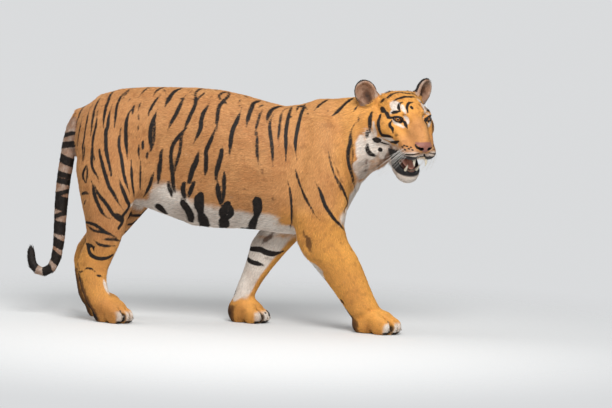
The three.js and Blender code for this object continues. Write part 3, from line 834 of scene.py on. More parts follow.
# ---- Markings -----------------------------------------------------------------------------------
# Every stripe is a line of its own: half its width in mm, the share of it left at its start and
# at its end, then its way as (x, z) over the flank. The left flank wears the right's, a little
# shifted, and each leg carries its own along.
flank_black = (
    (3.1, 0.5, 0.3, (-537, 903), (-560, 885), (-584, 867), (-606, 850), (-620, 821),
     (-628, 793), (-630, 770)),
    (2.1, 0.5, 0.3, (-599, 858), (-616, 848)),
    (2.6, 0.4, 0.3, (-635, 830), (-644, 815), (-651, 804)),
    (2.9, 0.3, 0.3, (-599, 820), (-602, 795), (-606, 767), (-611, 738), (-613, 709), (-618, 682)),
    (3.4, 0.3, 0.4, (-561, 868), (-572, 844), (-576, 813), (-578, 780), (-580, 751),
     (-581, 723), (-584, 701), (-580, 667), (-582, 642)),
    (2.3, 0.4, 0.4, (-580, 718), (-574, 696), (-574, 673), (-579, 648)),
    (4.3, 0.4, 0.3, (-523, 909), (-534, 891), (-544, 865), (-550, 837), (-551, 804),
     (-551, 776), (-552, 742)),
    (3.7, 0.4, 0.6, (-531, 846), (-535, 832), (-532, 805), (-534, 779), (-539, 751),
     (-542, 726), (-541, 697), (-537, 675), (-529, 650)),
    (4.9, 0.5, 0.3, (-459, 927), (-481, 921), (-491, 909), (-494, 890), (-500, 862),
     (-503, 834), (-502, 806), (-501, 778)),
    (6.0, 0.3, 0.5, (-476, 871), (-480, 851), (-483, 829), (-484, 807), (-485, 784),
     (-490, 761), (-488, 733), (-486, 705), (-481, 677), (-472, 644), (-465, 616), (-459, 591)),
    (4.3, 0.5, 0.3, (-428, 923), (-442, 908), (-450, 889), (-455, 864), (-456, 835),
     (-456, 807), (-458, 782)),
    (3.7, 0.7, 0.3, (-399, 935), (-415, 934), (-422, 924), (-429, 909), (-435, 895)),
    (2.0, 0.4, 0.4, (-402, 899), (-409, 890), (-410, 876)),
    (3.7, 0.4, 0.4, (-384, 872), (-389, 855), (-389, 835)),
    (6.0, 0.4, 0.3, (-395, 852), (-404, 840), (-409, 817), (-411, 792), (-411, 764),
     (-409, 736), (-406, 707), (-402, 679), (-401, 657)),
    (4.9, 0.3, 0.9, (-432, 780), (-435, 752), (-436, 724), (-432, 696), (-423, 665),
     (-416, 634), (-412, 606), (-408, 583)),
    (4.3, 0.3, 0.9, (-515, 693), (-509, 671), (-498, 640), (-488, 612), (-478, 590)),
    (4.5, 0.9, 0.3, (-542, 693), (-543, 664), (-540, 632), (-530, 607), (-514, 586), (-507, 564)),
    (5.8, 0.7, 0.3, (-513, 691), (-502, 653), (-492, 622), (-484, 597), (-475, 572),
     (-465, 547), (-448, 521), (-436, 499), (-423, 477), (-410, 456)),
    (4.2, 0.9, 0.3, (-488, 692), (-478, 667), (-469, 635), (-461, 610), (-457, 588)),
    (5.1, 0.9, 0.25, (-431, 693), (-423, 662), (-417, 630), (-411, 599), (-402, 570),
     (-394, 545), (-386, 521)),
    (6.1, 0.3, 0.9, (-428, 579), (-419, 554), (-408, 526), (-398, 497), (-390, 470), (-414, 430)),
    (4.8, 0.3, 0.3, (-386, 656), (-383, 624), (-381, 589), (-377, 554), (-374, 521), (-377, 485)),
    (2.9, 0.3, 0.5, (-348, 654), (-347, 616), (-349, 577), (-351, 534)),
    (4.2, 0.6, 0.6, (-563, 628), (-573, 605), (-576, 583), (-566, 559)),
    (2.9, 0.6, 0.6, (-560, 625), (-558, 593), (-561, 558)),
    (5.1, 0.8, 0.6, (-580, 513), (-562, 519), (-549, 514)),
    (2.6, 0.4, 0.3, (-563, 489), (-571, 467)),
    (5.8, 0.3, 0.4, (-540, 569), (-532, 547), (-525, 515), (-514, 487), (-502, 462),
     (-489, 440), (-475, 426), (-461, 421)),
    (5.8, 0.4, 0.9, (-527, 554), (-513, 526), (-498, 504), (-483, 488), (-467, 466),
     (-451, 441), (-433, 421), (-416, 406), (-430, 381)),
    (4.8, 0.4, 0.9, (-451, 441), (-430, 436), (-413, 416), (-430, 381)),
    (5.5, 0.8, 0.5, (-567, 400), (-547, 399), (-522, 393), (-499, 379), (-480, 365),
     (-455, 353), (-438, 343)),
    (3.9, 0.5, 0.7, (-555, 387), (-536, 374), (-516, 367), (-493, 363), (-477, 361)),
    (4.2, 0.3, 0.9, (-493, 336), (-468, 336), (-444, 335), (-428, 330)),
    (4.5, 0.3, 0.5, (-526, 331), (-509, 317), (-487, 310), (-462, 309), (-445, 310)),
    (4.8, 0.7, 0.7, (-565, 330), (-567, 319)),
    (5.8, 0.7, 0.5, (-561, 312), (-541, 307), (-525, 303)),
    (6.4, 0.8, 0.7, (-553, 303), (-547, 284), (-536, 268), (-513, 258), (-491, 257),
     (-470, 262), (-455, 272)),
    (3.2, 0.6, 0.3, (-530, 305), (-527, 288)),
    (1.4, 0.5, 0.5, (-250, 942), (-206, 943)),
    (3.7, 0.6, 0.3, (-294, 941), (-319, 941), (-339, 940), (-349, 934), (-362, 920), (-374, 900)),
    (4.3, 0.6, 0.3, (-261, 942), (-284, 941), (-297, 935), (-308, 924), (-316, 907)),
    (4.3, 0.4, 0.4, (-284, 915), (-295, 902), (-306, 883), (-315, 863), (-322, 846), (-323, 832)),
    (6.6, 0.3, 0.5, (-289, 861), (-295, 841), (-300, 824), (-307, 801), (-311, 779),
     (-312, 750), (-309, 722), (-308, 694)),
    (3.7, 0.5, 0.6, (-298, 824), (-295, 785), (-295, 757), (-296, 728), (-304, 702)),
    (2.9, 0.4, 0.4, (-360, 884), (-364, 867), (-366, 850)),
    (2.9, 0.5, 0.5, (-364, 836), (-362, 814)),
    (2.9, 0.5, 0.5, (-362, 791), (-363, 774)),
    (4.6, 0.6, 0.5, (-341, 732), (-340, 715), (-338, 698)),
    (3.7, 0.4, 0.4, (-356, 718), (-356, 692), (-354, 661)),
    (4.3, 0.5, 0.5, (-321, 688), (-322, 662)),
    (6.6, 0.6, 0.3, (-203, 943), (-214, 939), (-229, 931), (-240, 918), (-248, 901),
     (-256, 884), (-262, 864)),
    (6.3, 0.4, 0.3, (-185, 914), (-195, 892), (-203, 869), (-212, 844), (-225, 818),
     (-234, 798), (-242, 775)),
    (2.3, 0.5, 0.5, (-158, 943), (-177, 943), (-183, 942)),
    (6.3, 0.5, 0.4, (-166, 790), (-181, 775), (-197, 755), (-211, 734), (-222, 708),
     (-225, 680), (-225, 652), (-223, 623), (-218, 592)),
    (5.1, 0.5, 0.6, (-175, 778), (-184, 752), (-187, 721), (-190, 693), (-197, 667),
     (-204, 638), (-211, 610)),
    (5.7, 0.4, 0.6, (-257, 706), (-265, 690), (-267, 664), (-267, 636), (-265, 610)),
    (4.9, 0.5, 0.9, (-274, 650), (-273, 615), (-272, 587)),
    (2.0, 0.6, 0.6, (-180, 943), (-161, 943)),
    (1.7, 0.6, 0.6, (-141, 942), (-120, 941)),
    (4.6, 0.6, 0.9, (-111, 940), (-127, 942), (-143, 933), (-146, 919), (-140, 903)),
    (3.7, 0.6, 0.9, (-111, 939), (-112, 926), (-123, 915), (-134, 900)),
    (6.3, 0.9, 0.3, (-140, 903), (-140, 884), (-146, 861), (-154, 841), (-163, 816), (-178, 776)),
    (7.1, 0.3, 0.3, (-83, 894), (-91, 874), (-103, 849), (-109, 821), (-109, 793), (-119, 764),
     (-137, 727)),
    (2.9, 0.6, 0.6, (-83, 939), (-62, 937)),
    (4.9, 0.8, 0.7, (-44, 906), (-50, 917), (-43, 928), (-30, 932), (-16, 930)),
    (6.0, 0.8, 0.4, (-16, 931), (-14, 918), (-27, 901), (-41, 881), (-45, 859), (-45, 834),
     (-46, 809), (-42, 784)),
    (6.9, 0.3, 0.5, (-50, 795), (-58, 767), (-66, 744), (-77, 718), (-83, 696), (-80, 665),
     (-81, 636), (-85, 608)),
    (3.7, 0.4, 0.4, (37, 908), (29, 894)),
    (7.1, 0.25, 0.3, (46, 876), (40, 848), (32, 820), (22, 795), (17, 770), (15, 739),
     (13, 708), (13, 677)),
    (4.3, 0.7, 0.7, (42, 920), (57, 915), (64, 914)),
    (6.9, 0.8, 0.3, (109, 902), (90, 894), (85, 877), (79, 852), (75, 827), (73, 802)),
    (4.3, 0.4, 0.3, (129, 873), (121, 853), (116, 828), (112, 800), (108, 770)),
    (4.9, 0.3, 0.4, (116, 784), (119, 756), (120, 728), (122, 700), (126, 672), (131, 656)),
    (6.6, 0.3, 0.6, (-18, 723), (-19, 695), (-24, 670), (-30, 644), (-37, 618), (-38, 590)),
    (7.1, 0.3, 0.6, (-111, 708), (-116, 683), (-124, 657), (-135, 634), (-144, 605), (-152, 576)),
    (5.1, 0.4, 0.3, (-291, 616), (-300, 590), (-309, 561), (-323, 531), (-340, 506)),
    (6.1, 0.9, 0.5, (-273, 636), (-273, 611), (-274, 582), (-276, 565)),
    (7.1, 0.9, 0.6, (-224, 661), (-222, 629), (-217, 600), (-215, 578), (-212, 552), (-209, 533)),
    (5.8, 0.6, 0.7, (-236, 574), (-232, 551), (-225, 532), (-221, 516)),
    (8.0, 0.7, 0.5, (-170, 572), (-174, 551), (-172, 528), (-166, 505)),
    (7.4, 0.6, 0.5, (-128, 578), (-136, 559), (-144, 539), (-150, 516)),
    (9.3, 0.9, 0.6, (-119, 665), (-129, 642), (-138, 620), (-144, 597), (-149, 574)),
    (6.8, 0.9, 0.4, (-82, 667), (-81, 635), (-84, 608)),
    (6.8, 0.5, 0.6, (-33, 583), (-29, 551), (-26, 522), (-20, 490)),
    (6.1, 0.5, 0.6, (-7, 622), (-8, 590), (-6, 558), (-10, 526), (-17, 496)),
    (14.5, 0.1, 0.7, (-184, 511), (-172, 486), (-156, 463), (-148, 440), (-150, 415)),
    (17.7, 0.6, 0.7, (-101, 528), (-108, 508), (-109, 485), (-105, 459)),
    (18.6, 0.7, 0.3, (-101, 446), (-95, 418), (-95, 396), (-84, 393)),
    (16.1, 0.5, 0.8, (-281, 476), (-273, 462), (-260, 445)),
    (3.9, 0.5, 0.5, (-214, 423), (-188, 414)),
    (7.4, 0.9, 0.5, (-19, 709), (-24, 677), (-33, 645), (-39, 616), (-40, 590)),
    (6.8, 0.5, 0.6, (-33, 581), (-33, 549), (-27, 517), (-21, 491)),
    (5.8, 0.6, 0.6, (-7, 624), (-5, 595), (-7, 566), (-7, 531), (-12, 504)),
    (14.5, 0.6, 0.8, (10, 499), (-5, 479), (-13, 455), (-11, 434)),
    (9.6, 0.6, 0.8, (13, 492), (21, 460), (3, 435)),
    (18.0, 0.8, 0.7, (-10, 434), (-15, 406), (-22, 391)),
    (16.1, 0.15, 0.7, (122, 533), (126, 510), (127, 484), (123, 457)),
    (13.5, 0.7, 0.5, (118, 447), (106, 422), (93, 391), (83, 337)),
    (9.6, 0.5, 0.8, (54, 397), (63, 393), (77, 392)),
    (6.4, 0.6, 0.6, (81, 398), (69, 393)),
    (3.5, 0.5, 0.4, (275, 636), (283, 611), (292, 583)),
    (3.9, 0.3, 0.6, (243, 597), (252, 569), (258, 534), (261, 495), (262, 456), (259, 429),
     (249, 397)),
    (4.2, 0.6, 0.5, (113, 902), (139, 895)),
    (6.4, 0.6, 0.25, (199, 883), (181, 880), (165, 871), (155, 855), (150, 833), (149, 818)),
    (5.5, 0.3, 0.4, (174, 856), (166, 834), (164, 806), (169, 775), (176, 744), (181, 710),
     (184, 678), (186, 648)),
    (4.2, 0.5, 0.3, (222, 878), (208, 869), (203, 850), (202, 822), (202, 791), (202, 760),
     (206, 729)),
    (5.8, 0.8, 0.2, (238, 885), (236, 870), (232, 842), (230, 811), (229, 780), (232, 743),
     (234, 708), (236, 673)),
    (4.8, 0.8, 0.25, (301, 900), (282, 894), (266, 890), (263, 880), (262, 861)),
    (5.8, 0.6, 0.2, (315, 904), (293, 897), (286, 875), (280, 847), (276, 816), (271, 781),
     (269, 747), (272, 715), (278, 678)),
    (4.5, 0.7, 0.3, (392, 917), (377, 913), (357, 899), (332, 873)),
    (3.2, 0.3, 0.9, (274, 643), (282, 611), (296, 577), (314, 544), (331, 516)),
    (5.7, 0.9, 0.3, (483, 926), (467, 915), (449, 898), (435, 882), (419, 865), (401, 852)),
    (3.3, 0.6, 0.4, (504, 897), (489, 874)),
    (5.8, 0.3, 0.4, (499, 828), (489, 810), (483, 783), (483, 750), (477, 724), (476, 691),
     (482, 658), (492, 625), (499, 587), (501, 555)),
    (2.4, 0.4, 0.4, (489, 777), (492, 744), (494, 711), (494, 678), (494, 651)),
    (3.3, 0.5, 0.5, (512, 837), (511, 856)),
    (4.3, 0.2, 0.4, (435, 623), (452, 594), (469, 558), (480, 517), (468, 482), (474, 473)),
    (5.7, 0.3, 0.7, (355, 598), (376, 563), (390, 527), (401, 501), (421, 472), (441, 446),
     (455, 431), (470, 409)),
    (3.3, 0.9, 0.3, (294, 584), (316, 534), (342, 496), (359, 467), (378, 448)),
    (2.0, 0.5, 0.3, (500, 555), (490, 527)),
    (2.8, 0.5, 0.5, (402, 716), (412, 676), (426, 636), (442, 598), (456, 566)),
    (2.5, 0.5, 0.5, (-593, 251), (-592, 255), (-589, 257)),
    (3.1, 0.5, 0.4, (-564, 211), (-549, 217), (-535, 213), (-521, 204)),
    (2.8, 0.6, 0.4, (-590, 198), (-568, 203)),
    (3.4, 0.5, 0.4, (-517, 190), (-505, 187), (-493, 182)),
    (4.0, 0.5, 0.5, (-592, 196), (-583, 159)),
    (7.8, 0.5, 0.9, (-558, 79), (-543, 58), (-530, 35), (-515, 15)),
    (6.1, 0.6, 0.6, (466, 129), (475, 117)),
    (8.2, 0.6, 0.6, (482, 98), (499, 74), (513, 61)),
)
flank_brown = (
    (2.9, 0.4, 0.4, (-575, 678), (-579, 653), (-583, 627)),
    (2.0, 0.5, 0.5, (-367, 763), (-367, 746)),
    (2.3, 0.5, 0.5, (-362, 646), (-362, 629)),
    (2.0, 0.5, 0.5, (-313, 651), (-313, 631)),
    (2.6, 0.4, 0.3, (136, 667), (141, 642), (147, 620)),
    (2.6, 0.4, 0.4, (52, 630), (54, 611)),
    (2.9, 0.4, 0.3, (134, 654), (141, 639), (146, 620)),
    (2.9, 0.4, 0.4, (49, 635), (53, 613)),
    (4.2, 0.7, 0.7, (71, 563), (74, 557)),
    (3.9, 0.4, 0.4, (184, 535), (189, 515)),
    (2.0, 0.4, 0.4, (406, 710), (420, 681), (437, 649), (451, 617), (468, 587), (476, 564)),
    (4.0, 0.6, 0.5, (-597, 238), (-598, 229), (-583, 232)),
    (2.2, 0.5, 0.5, (-559, 168), (-548, 171)),
    (1.9, 0.5, 0.5, (-559, 136), (-547, 134)),
    (14.3, 0.6, 0.6, (326, 377), (338, 353), (338, 324)),
    (6.1, 0.5, 0.6, (313, 417), (317, 384)),
    (4.1, 0.6, 0.6, (257, 350), (300, 362)),
    (2.4, 0.5, 0.4, (439, 365), (485, 348)),
    (2.9, 0.6, 0.6, (394, 213), (404, 206)),
)
flank_pale = (
    (9.0, 0.5, 0.3, (518, 771), (515, 732), (515, 690)),
    (13.0, 0.3, 0.8, (481, 500), (477, 469), (469, 428)),
    (6.2, 0.5, 0.3, (-488, 169), (-479, 138), (-467, 112)),
    (6.0, 0.6, 0.5, (-376, 485), (-398, 458)),
)
inner_black = (
    (9.7, 0.8, 0.4, (69, 300), (82, 300), (114, 300), (140, 290), (166, 285), (190, 289),
     (206, 295)),
    (7.6, 0.7, 0.4, (63, 269), (65, 257), (85, 247), (111, 242), (131, 236)),
    (5.5, 0.6, 0.6, (19, 132), (12, 107)),
    (5.5, 0.8, 0.6, (-413, 418), (-388, 418), (-366, 422), (-353, 440)),
    (5.5, 0.7, 0.6, (-429, 380), (-405, 383), (-389, 390)),
    (3.9, 0.6, 0.5, (-445, 346), (-427, 347), (-414, 356)),
)
inner_brown = (
    (3.4, 0.5, 0.4, (132, 268), (166, 263)),
    (4.8, 0.6, 0.5, (-341, 474), (-329, 466)),
)
inner_pale = (
    (31.7, 0.8, 0.5, (76, 235), (61, 184), (36, 131), (17, 100)),
)
# On the head the ways are (x, y, z) in head coordinates. What lies well to the right is worn on
# the left too.
face_black = (
    (5.9, 0.6, 0.5, (-136, -60, 72), (-131, -48, 78), (-129, -34, 79)),
    (5.9, 0.7, 0.5, (-99, -67, 62), (-100, -55, 70), (-105, -40, 77)),
    (5.0, 0.5, 0.5, (-121, -83, 40), (-114, -79, 48), (-107, -74, 59)),
    (5.9, 0.5, 0.25, (-100, -44, 76), (-106, -24, 80), (-97, -6, 82), (-77, 11, 82), (-91, 46, 75)),
    (3.4, 0.5, 0.4, (-127, 1, 81), (-123, 28, 81), (-125, 53, 77)),
    (5.5, 0.6, 0.3, (-62, -56, 59), (-55, -42, 69), (-49, -23, 76), (-44, 3, 78), (-48, 37, 70)),
    (5.0, 0.5, 0.5, (-27, -39, 61), (-28, -52, 54), (-17, -60, 43), (0, -63, 33)),
    (5.5, 0.4, 0.6, (-34, -81, 19), (-9, -77, 27), (1, -63, 32)),
    (4.6, 0.5, 0.5, (-15, 0, 63), (-13, -19, 60), (1, -33, 46), (12, -34, 30)),
    (5.5, 0.9, 0.9, (2, -14, 48), (5, -12, 45)),
    (5.5, 0.7, 0.5, (-7, 62, 38), (6, 60, 29)),
    (9.7, 0.7, 0.7, (-104, -86, 19), (-90, -87, 15), (-80, -86, 14)),
    (6.7, 0.7, 0.6, (-72, -86, 12), (-52, -88, 9), (-31, -92, 1), (-17, -86, 2)),
    (2.5, 0.8, 0.8, (-18, -86, 3), (0, -80, 11), (12, -64, 11), (9, -48, 1)),
    (2.5, 0.6, 0.8, (-10, -85, 2), (1, -75, -7), (15, -63, -11)),
    (5.5, 0.8, 0.4, (14, -56, 1), (14, -45, -9), (29, -47, -16), (40, -45, -26)),
    (5.0, 0.5, 0.5, (-12, -88, -8), (-11, -95, -19), (-5, -97, -28), (4, -91, -36), (9, -89, -51)),
    (8.8, 0.7, 0.8, (-93, -95, -6), (-74, -111, -21), (-56, -121, -37), (-46, -118, -56),
     (-39, -110, -72)),
    (5.9, 0.8, 0.5, (-40, -110, -73), (-14, -102, -69), (6, -88, -70)),
    (6.7, 0.6, 0.5, (-127, -115, -2), (-114, -128, -22), (-106, -131, -45), (-96, -133, -75)),
    (5.5, 0.5, 0.6, (-108, -141, -71), (-97, -142, -96)),
    (7.1, 0.6, 0.4, (-94, -140, -123), (-92, -138, -144), (-83, -127, -159), (-74, -103, -168)),
    (10.5, 0.8, 0.8, (-73, -120, -98), (-58, -108, -100)),
    (2.9, 0.7, 0.4, (-60, -108, -103), (-47, -88, -109), (-41, -73, -112)),
    (5.9, 0.6, 0.5, (-24, -78, -98), (8, -78, -91), (39, -77, -79)),
    (7.6, 0.8, 0.8, (-61, -101, -135), (-59, -98, -139)),
    (2.5, 0.8, 0.8, (58, -72, -96), (65, -71, -96)),
    (2.5, 0.8, 0.8, (74, -69, -103), (80, -66, -103)),
    (2.5, 0.8, 0.8, (74, -61, -90), (79, -58, -90)),
    (2.5, 0.8, 0.8, (87, -59, -96), (92, -56, -97)),
    (2.5, 0.8, 0.8, (88, -51, -90), (92, -49, -91)),
    (2.5, 0.8, 0.8, (65, -68, -89), (69, -65, -89)),
    (2.5, 0.8, 0.8, (100, -50, -98), (103, -46, -99)),
    (2.1, 0.5, 0.5, (66, -70, -123), (85, -66, -120), (107, -51, -116), (112, -23, -110)),
    (1.9, 0.5, 0.5, (69, -65, -129), (100, -55, -127), (108, -26, -124)),
    (3.4, 0.8, 0.6, (103, 6, -118), (70, 32, -146)),
)
face_brown = (
    (4.2, 0.6, 0.6, (-148, -89, 75), (-136, -61, 71)),
    (3.4, 0.5, 0.5, (-7, -49, 45), (3, -54, 35)),
    (3.8, 0.6, 0.5, (5, 10, 44), (7, 21, 41)),
    (2.5, 0.5, 0.5, (-12, 18, 59), (-6, 33, 49), (5, 39, 40)),
    # painted shade on the cheek under the eye
    (2.1, 0.5, 0.5, (18, -85, -61), (32, -75, -57)),
    # painted shade down the cheek behind the corner of the mouth
    (11.8, 0.4, 0.5, (-39, -71, -115), (-26, -65, -131), (-45, -65, -156), (-77, -77, -193),
     (-100, -78, -214)),
    (6.3, 0.4, 0.4, (-96, -136, -186), (-106, -129, -218), (-136, -110, -261)),
)
face_pale = (
    (18.9, 0.7, 0.6, (-59, -64, 49), (-29, -67, 40), (-33, -78, 24)),
    (12.6, 0.7, 0.7, (-43, -57, 53), (-15, -66, 39)),
    (7.6, 0.7, 0.5, (-15, -46, 51), (3, -48, 39), (11, -43, 26)),
    (7.1, 0.5, 0.7, (4, -45, 13), (13, -35, 3), (28, -37, -10)),
    (5.5, 0.6, 0.7, (-9, -87, -4), (9, -73, -16), (27, -56, -25)),
    (5.0, 0.5, 0.7, (-39, 34, 68), (-22, 50, 55), (-5, 61, 37)),
    (6.3, 0.7, 0.7, (10, 52, 23), (8, 68, 18)),
    (8.4, 0.6, 0.6, (-97, -121, -35), (-76, -123, -63), (-71, -121, -84)),
    (27.3, 0.5, 0.7, (-90, -132, -84), (-78, -121, -132), (-86, -127, -168)),
    (23.1, 0.6, 0.6, (-55, -104, -97), (-46, -83, -125), (-60, -85, -163)),
    (8.4, 0.5, 0.6, (-43, -103, -83), (-9, -89, -84), (28, -75, -94)),
    (31.5, 0.5, 0.6, (-114, -161, -106), (-111, -162, -156), (-111, -152, -208),
     (-133, -125, -262)),
    (4.6, 0.6, 0.6, (73, -69, -117), (106, -51, -111), (113, -27, -106)),
    (9.2, 0.6, 0.6, (93, -50, -137), (92, -17, -135)),
    (14.7, 0.7, 0.7, (111, 30, -118), (95, 48, -137)),
)
# The head is turned away from the left side of the neck, which so has stripes of its own.
nape_black = (
    (6, 0.2, 0.3, (-196, 40, 40), (-188, 78, 22), (-178, 104, -14), (-170, 110, -52)),
    (6, 0.2, 0.2, (-228, 30, 22), (-222, 80, 4), (-208, 112, -40), (-200, 116, -90)),
    (5, 0.3, 0.2, (-250, 52, -10), (-244, 92, -34), (-232, 114, -80)),
    (6, 0.3, 0.2, (-190, 0, 56), (-186, 30, 50), (-178, 52, 40)),
    (6, 0.3, 0.3, (-226, -34, 40), (-226, 0, 44), (-224, 24, 36)),
    (5, 0.2, 0.2, (-128, 122, -40), (-120, 122, -84), (-104, 116, -120)),
)

# Rings round the tail: middle and half width along it, and how far they slant.
tail_rings = (
    (150, 9, 14), (196, 13, 10), (262, 17, -6), (322, 11, -3), (348, 11, -3), (395, 9, 10),
    (436, 29, -6), (484, 9, 10), (537, 26, -4), (600, 19, -12), (658, 22, -12), (722, 20, -14),
    (835, 62, 0),
)  # fmt: skip


def strand(line, half, start, end):
    """Points every few mm along a smooth line, and half the width at each."""
    line = np.array(line, float)
    knots = np.concatenate([[2 * line[0] - line[1]], line, [2 * line[-1] - line[-2]]])
    found = []
    for a, b, c, d in zip(knots, knots[1:], knots[2:], knots[3:]):
        count = max(2, int(np.linalg.norm(c - b) / 3.5))
        t = (np.arange(count) / count)[:, None]
        found.append(
            0.5 * (2 * b + (c - a) * t + (2 * a - 5 * b + 4 * c - d) * t**2)
            + 0.5 * (3 * b - a - 3 * c + d) * t**3
        )
    path = np.concatenate(found + [line[-1:]])
    share = np.linspace(0, 1, len(path))
    wide = np.minimum(
        start + (1 - start) * rise(share, 0, 0.3), end + (1 - end) * rise(1 - share, 0, 0.35)
    )
    return path, np.maximum((1.1 * half + 0.8) * wide, min(2.4, half))


def on_skin(path, from_y, way):
    """Lifts (x, z) points onto the skin as seen from that y, looking that way."""
    lifted = []
    last = None
    for px, pz in path:
        hit = skin_tree.ray_cast((px, from_y, pz), (0, way, 0))[0]
        if hit is None:
            hit = skin_tree.find_nearest((px, last or from_y / 8, pz))[0]
        last = hit.y
        lifted.append(hit)
    return np.array(lifted)


def left_way(path):
    """The way a right stripe takes on the left: shifted a little, and with the left leg."""
    x, z = path.T
    loose = rise(-z, -880, -780)
    heights = (60, 240, 293, 340, 390, 450, 600, 760)
    hind = np.interp(z, heights, (-68, -60, -55, -28, -2, 21, 19, 0))
    fore = np.interp(z, (300, 340, 400, 480, 585, 700), (-240, -213, -138, -73, -30, 0))
    fore *= rise(x, 130, 230)
    moved = np.where(x < -300, hind, fore)
    x = x + moved + loose * 13 * np.sin(z / 58 + x / 190)
    return np.stack([x, z + loose * 10 * np.sin(x / 75 + 1)], 1)


well_outside = 900  # y from which a flank is seen
between_legs = 25  # y from which the inner sides of the legs are seen


def both_flanks(stripes):
    """All the points and half widths of the flank stripes, on both sides."""
    points, widths = [], []
    for half, start, end, *line in stripes:
        path, wide = strand(line, half, start, end)
        for side, way in (("right", path), ("left", left_way(path))):
            sign = 1 if side == "right" else -1
            points.append(on_skin(way, -well_outside * sign, sign))
            widths.append(wide)
            low = (way[:, 1] < 430) & (way[:, 1] > 130)  # round to the inner side of the leg
            if low.any() and half > 2.5:
                points.append(on_skin(way[low], between_legs, -sign))
                widths.append(wide[low] * 0.8)
    return points, widths


def inner_legs(stripes):
    """The same for the stripes inside the legs, read on the left ones."""
    points, widths = [], []
    for half, start, end, *line in stripes:
        path, wide = strand(line, half, start, end)
        points.append(on_skin(path, between_legs, 1))
        widths.append(wide)
        if path[:, 1].mean() < 480 and path[:, 0].mean() > 0:
            back = path.copy()  # the right foreleg reaches ahead of the left
            back[:, 0] += np.interp(path[:, 1], (300, 340, 400), (240, 213, 138))
            points.append(on_skin(back, between_legs, -1))
            widths.append(wide)
    return points, widths


def both_cheeks(stripes):
    """The same for the head's."""
    points, widths = [], []
    for half, start, end, *line in stripes:
        path, wide = strand(line, half, start, end)
        for mirrored in (False, True):
            if mirrored and path[:, 1].max() > -22:
                continue
            there = from_head(path * (1, -1, 1) if mirrored else path)
            points.append(np.array([skin_tree.find_nearest(p)[0] for p in there.tolist()]))
            widths.append(wide)
    return points, widths


def pattern(*groups):
    """A search tree over all the points of these stripes, with their half widths."""
    points = np.concatenate([p for group in groups for p in group[0]])
    widths = np.concatenate([w for group in groups for w in group[1]])
    tree = KDTree(len(points))
    for k, p in enumerate(points.tolist()):
        tree.insert(p, k)
    tree.balance()
    return tree, widths.tolist()


black_pattern = pattern(
    both_flanks(flank_black),
    inner_legs(inner_black),
    both_cheeks(face_black),
    both_cheeks(nape_black),
)
brown_pattern = pattern(both_flanks(flank_brown), inner_legs(inner_brown), both_cheeks(face_brown))
pale_pattern = pattern(both_flanks(flank_pale), inner_legs(inner_pale), both_cheeks(face_pale))


def edge_distance(points, wanted):
    """How far outside the nearest stripe's edge each point is in mm, negative inside."""
    tree, widths = wanted
    return np.array([
        min(distance - widths[k] for _, k, distance in tree.find_n(p, 3)) for p in points.tolist()
    ])


def ring_distance(points):
    """The same for the tail's rings."""
    near, reach = on_tail(points)
    across = (points[:, 0] - tail_spots[near, 0]) / 25
    found = np.full(len(points), 40.0)
    for middle, half, slant in tail_rings:
        found = np.minimum(found, np.abs(reach + slant * across - middle) - half)
    return found


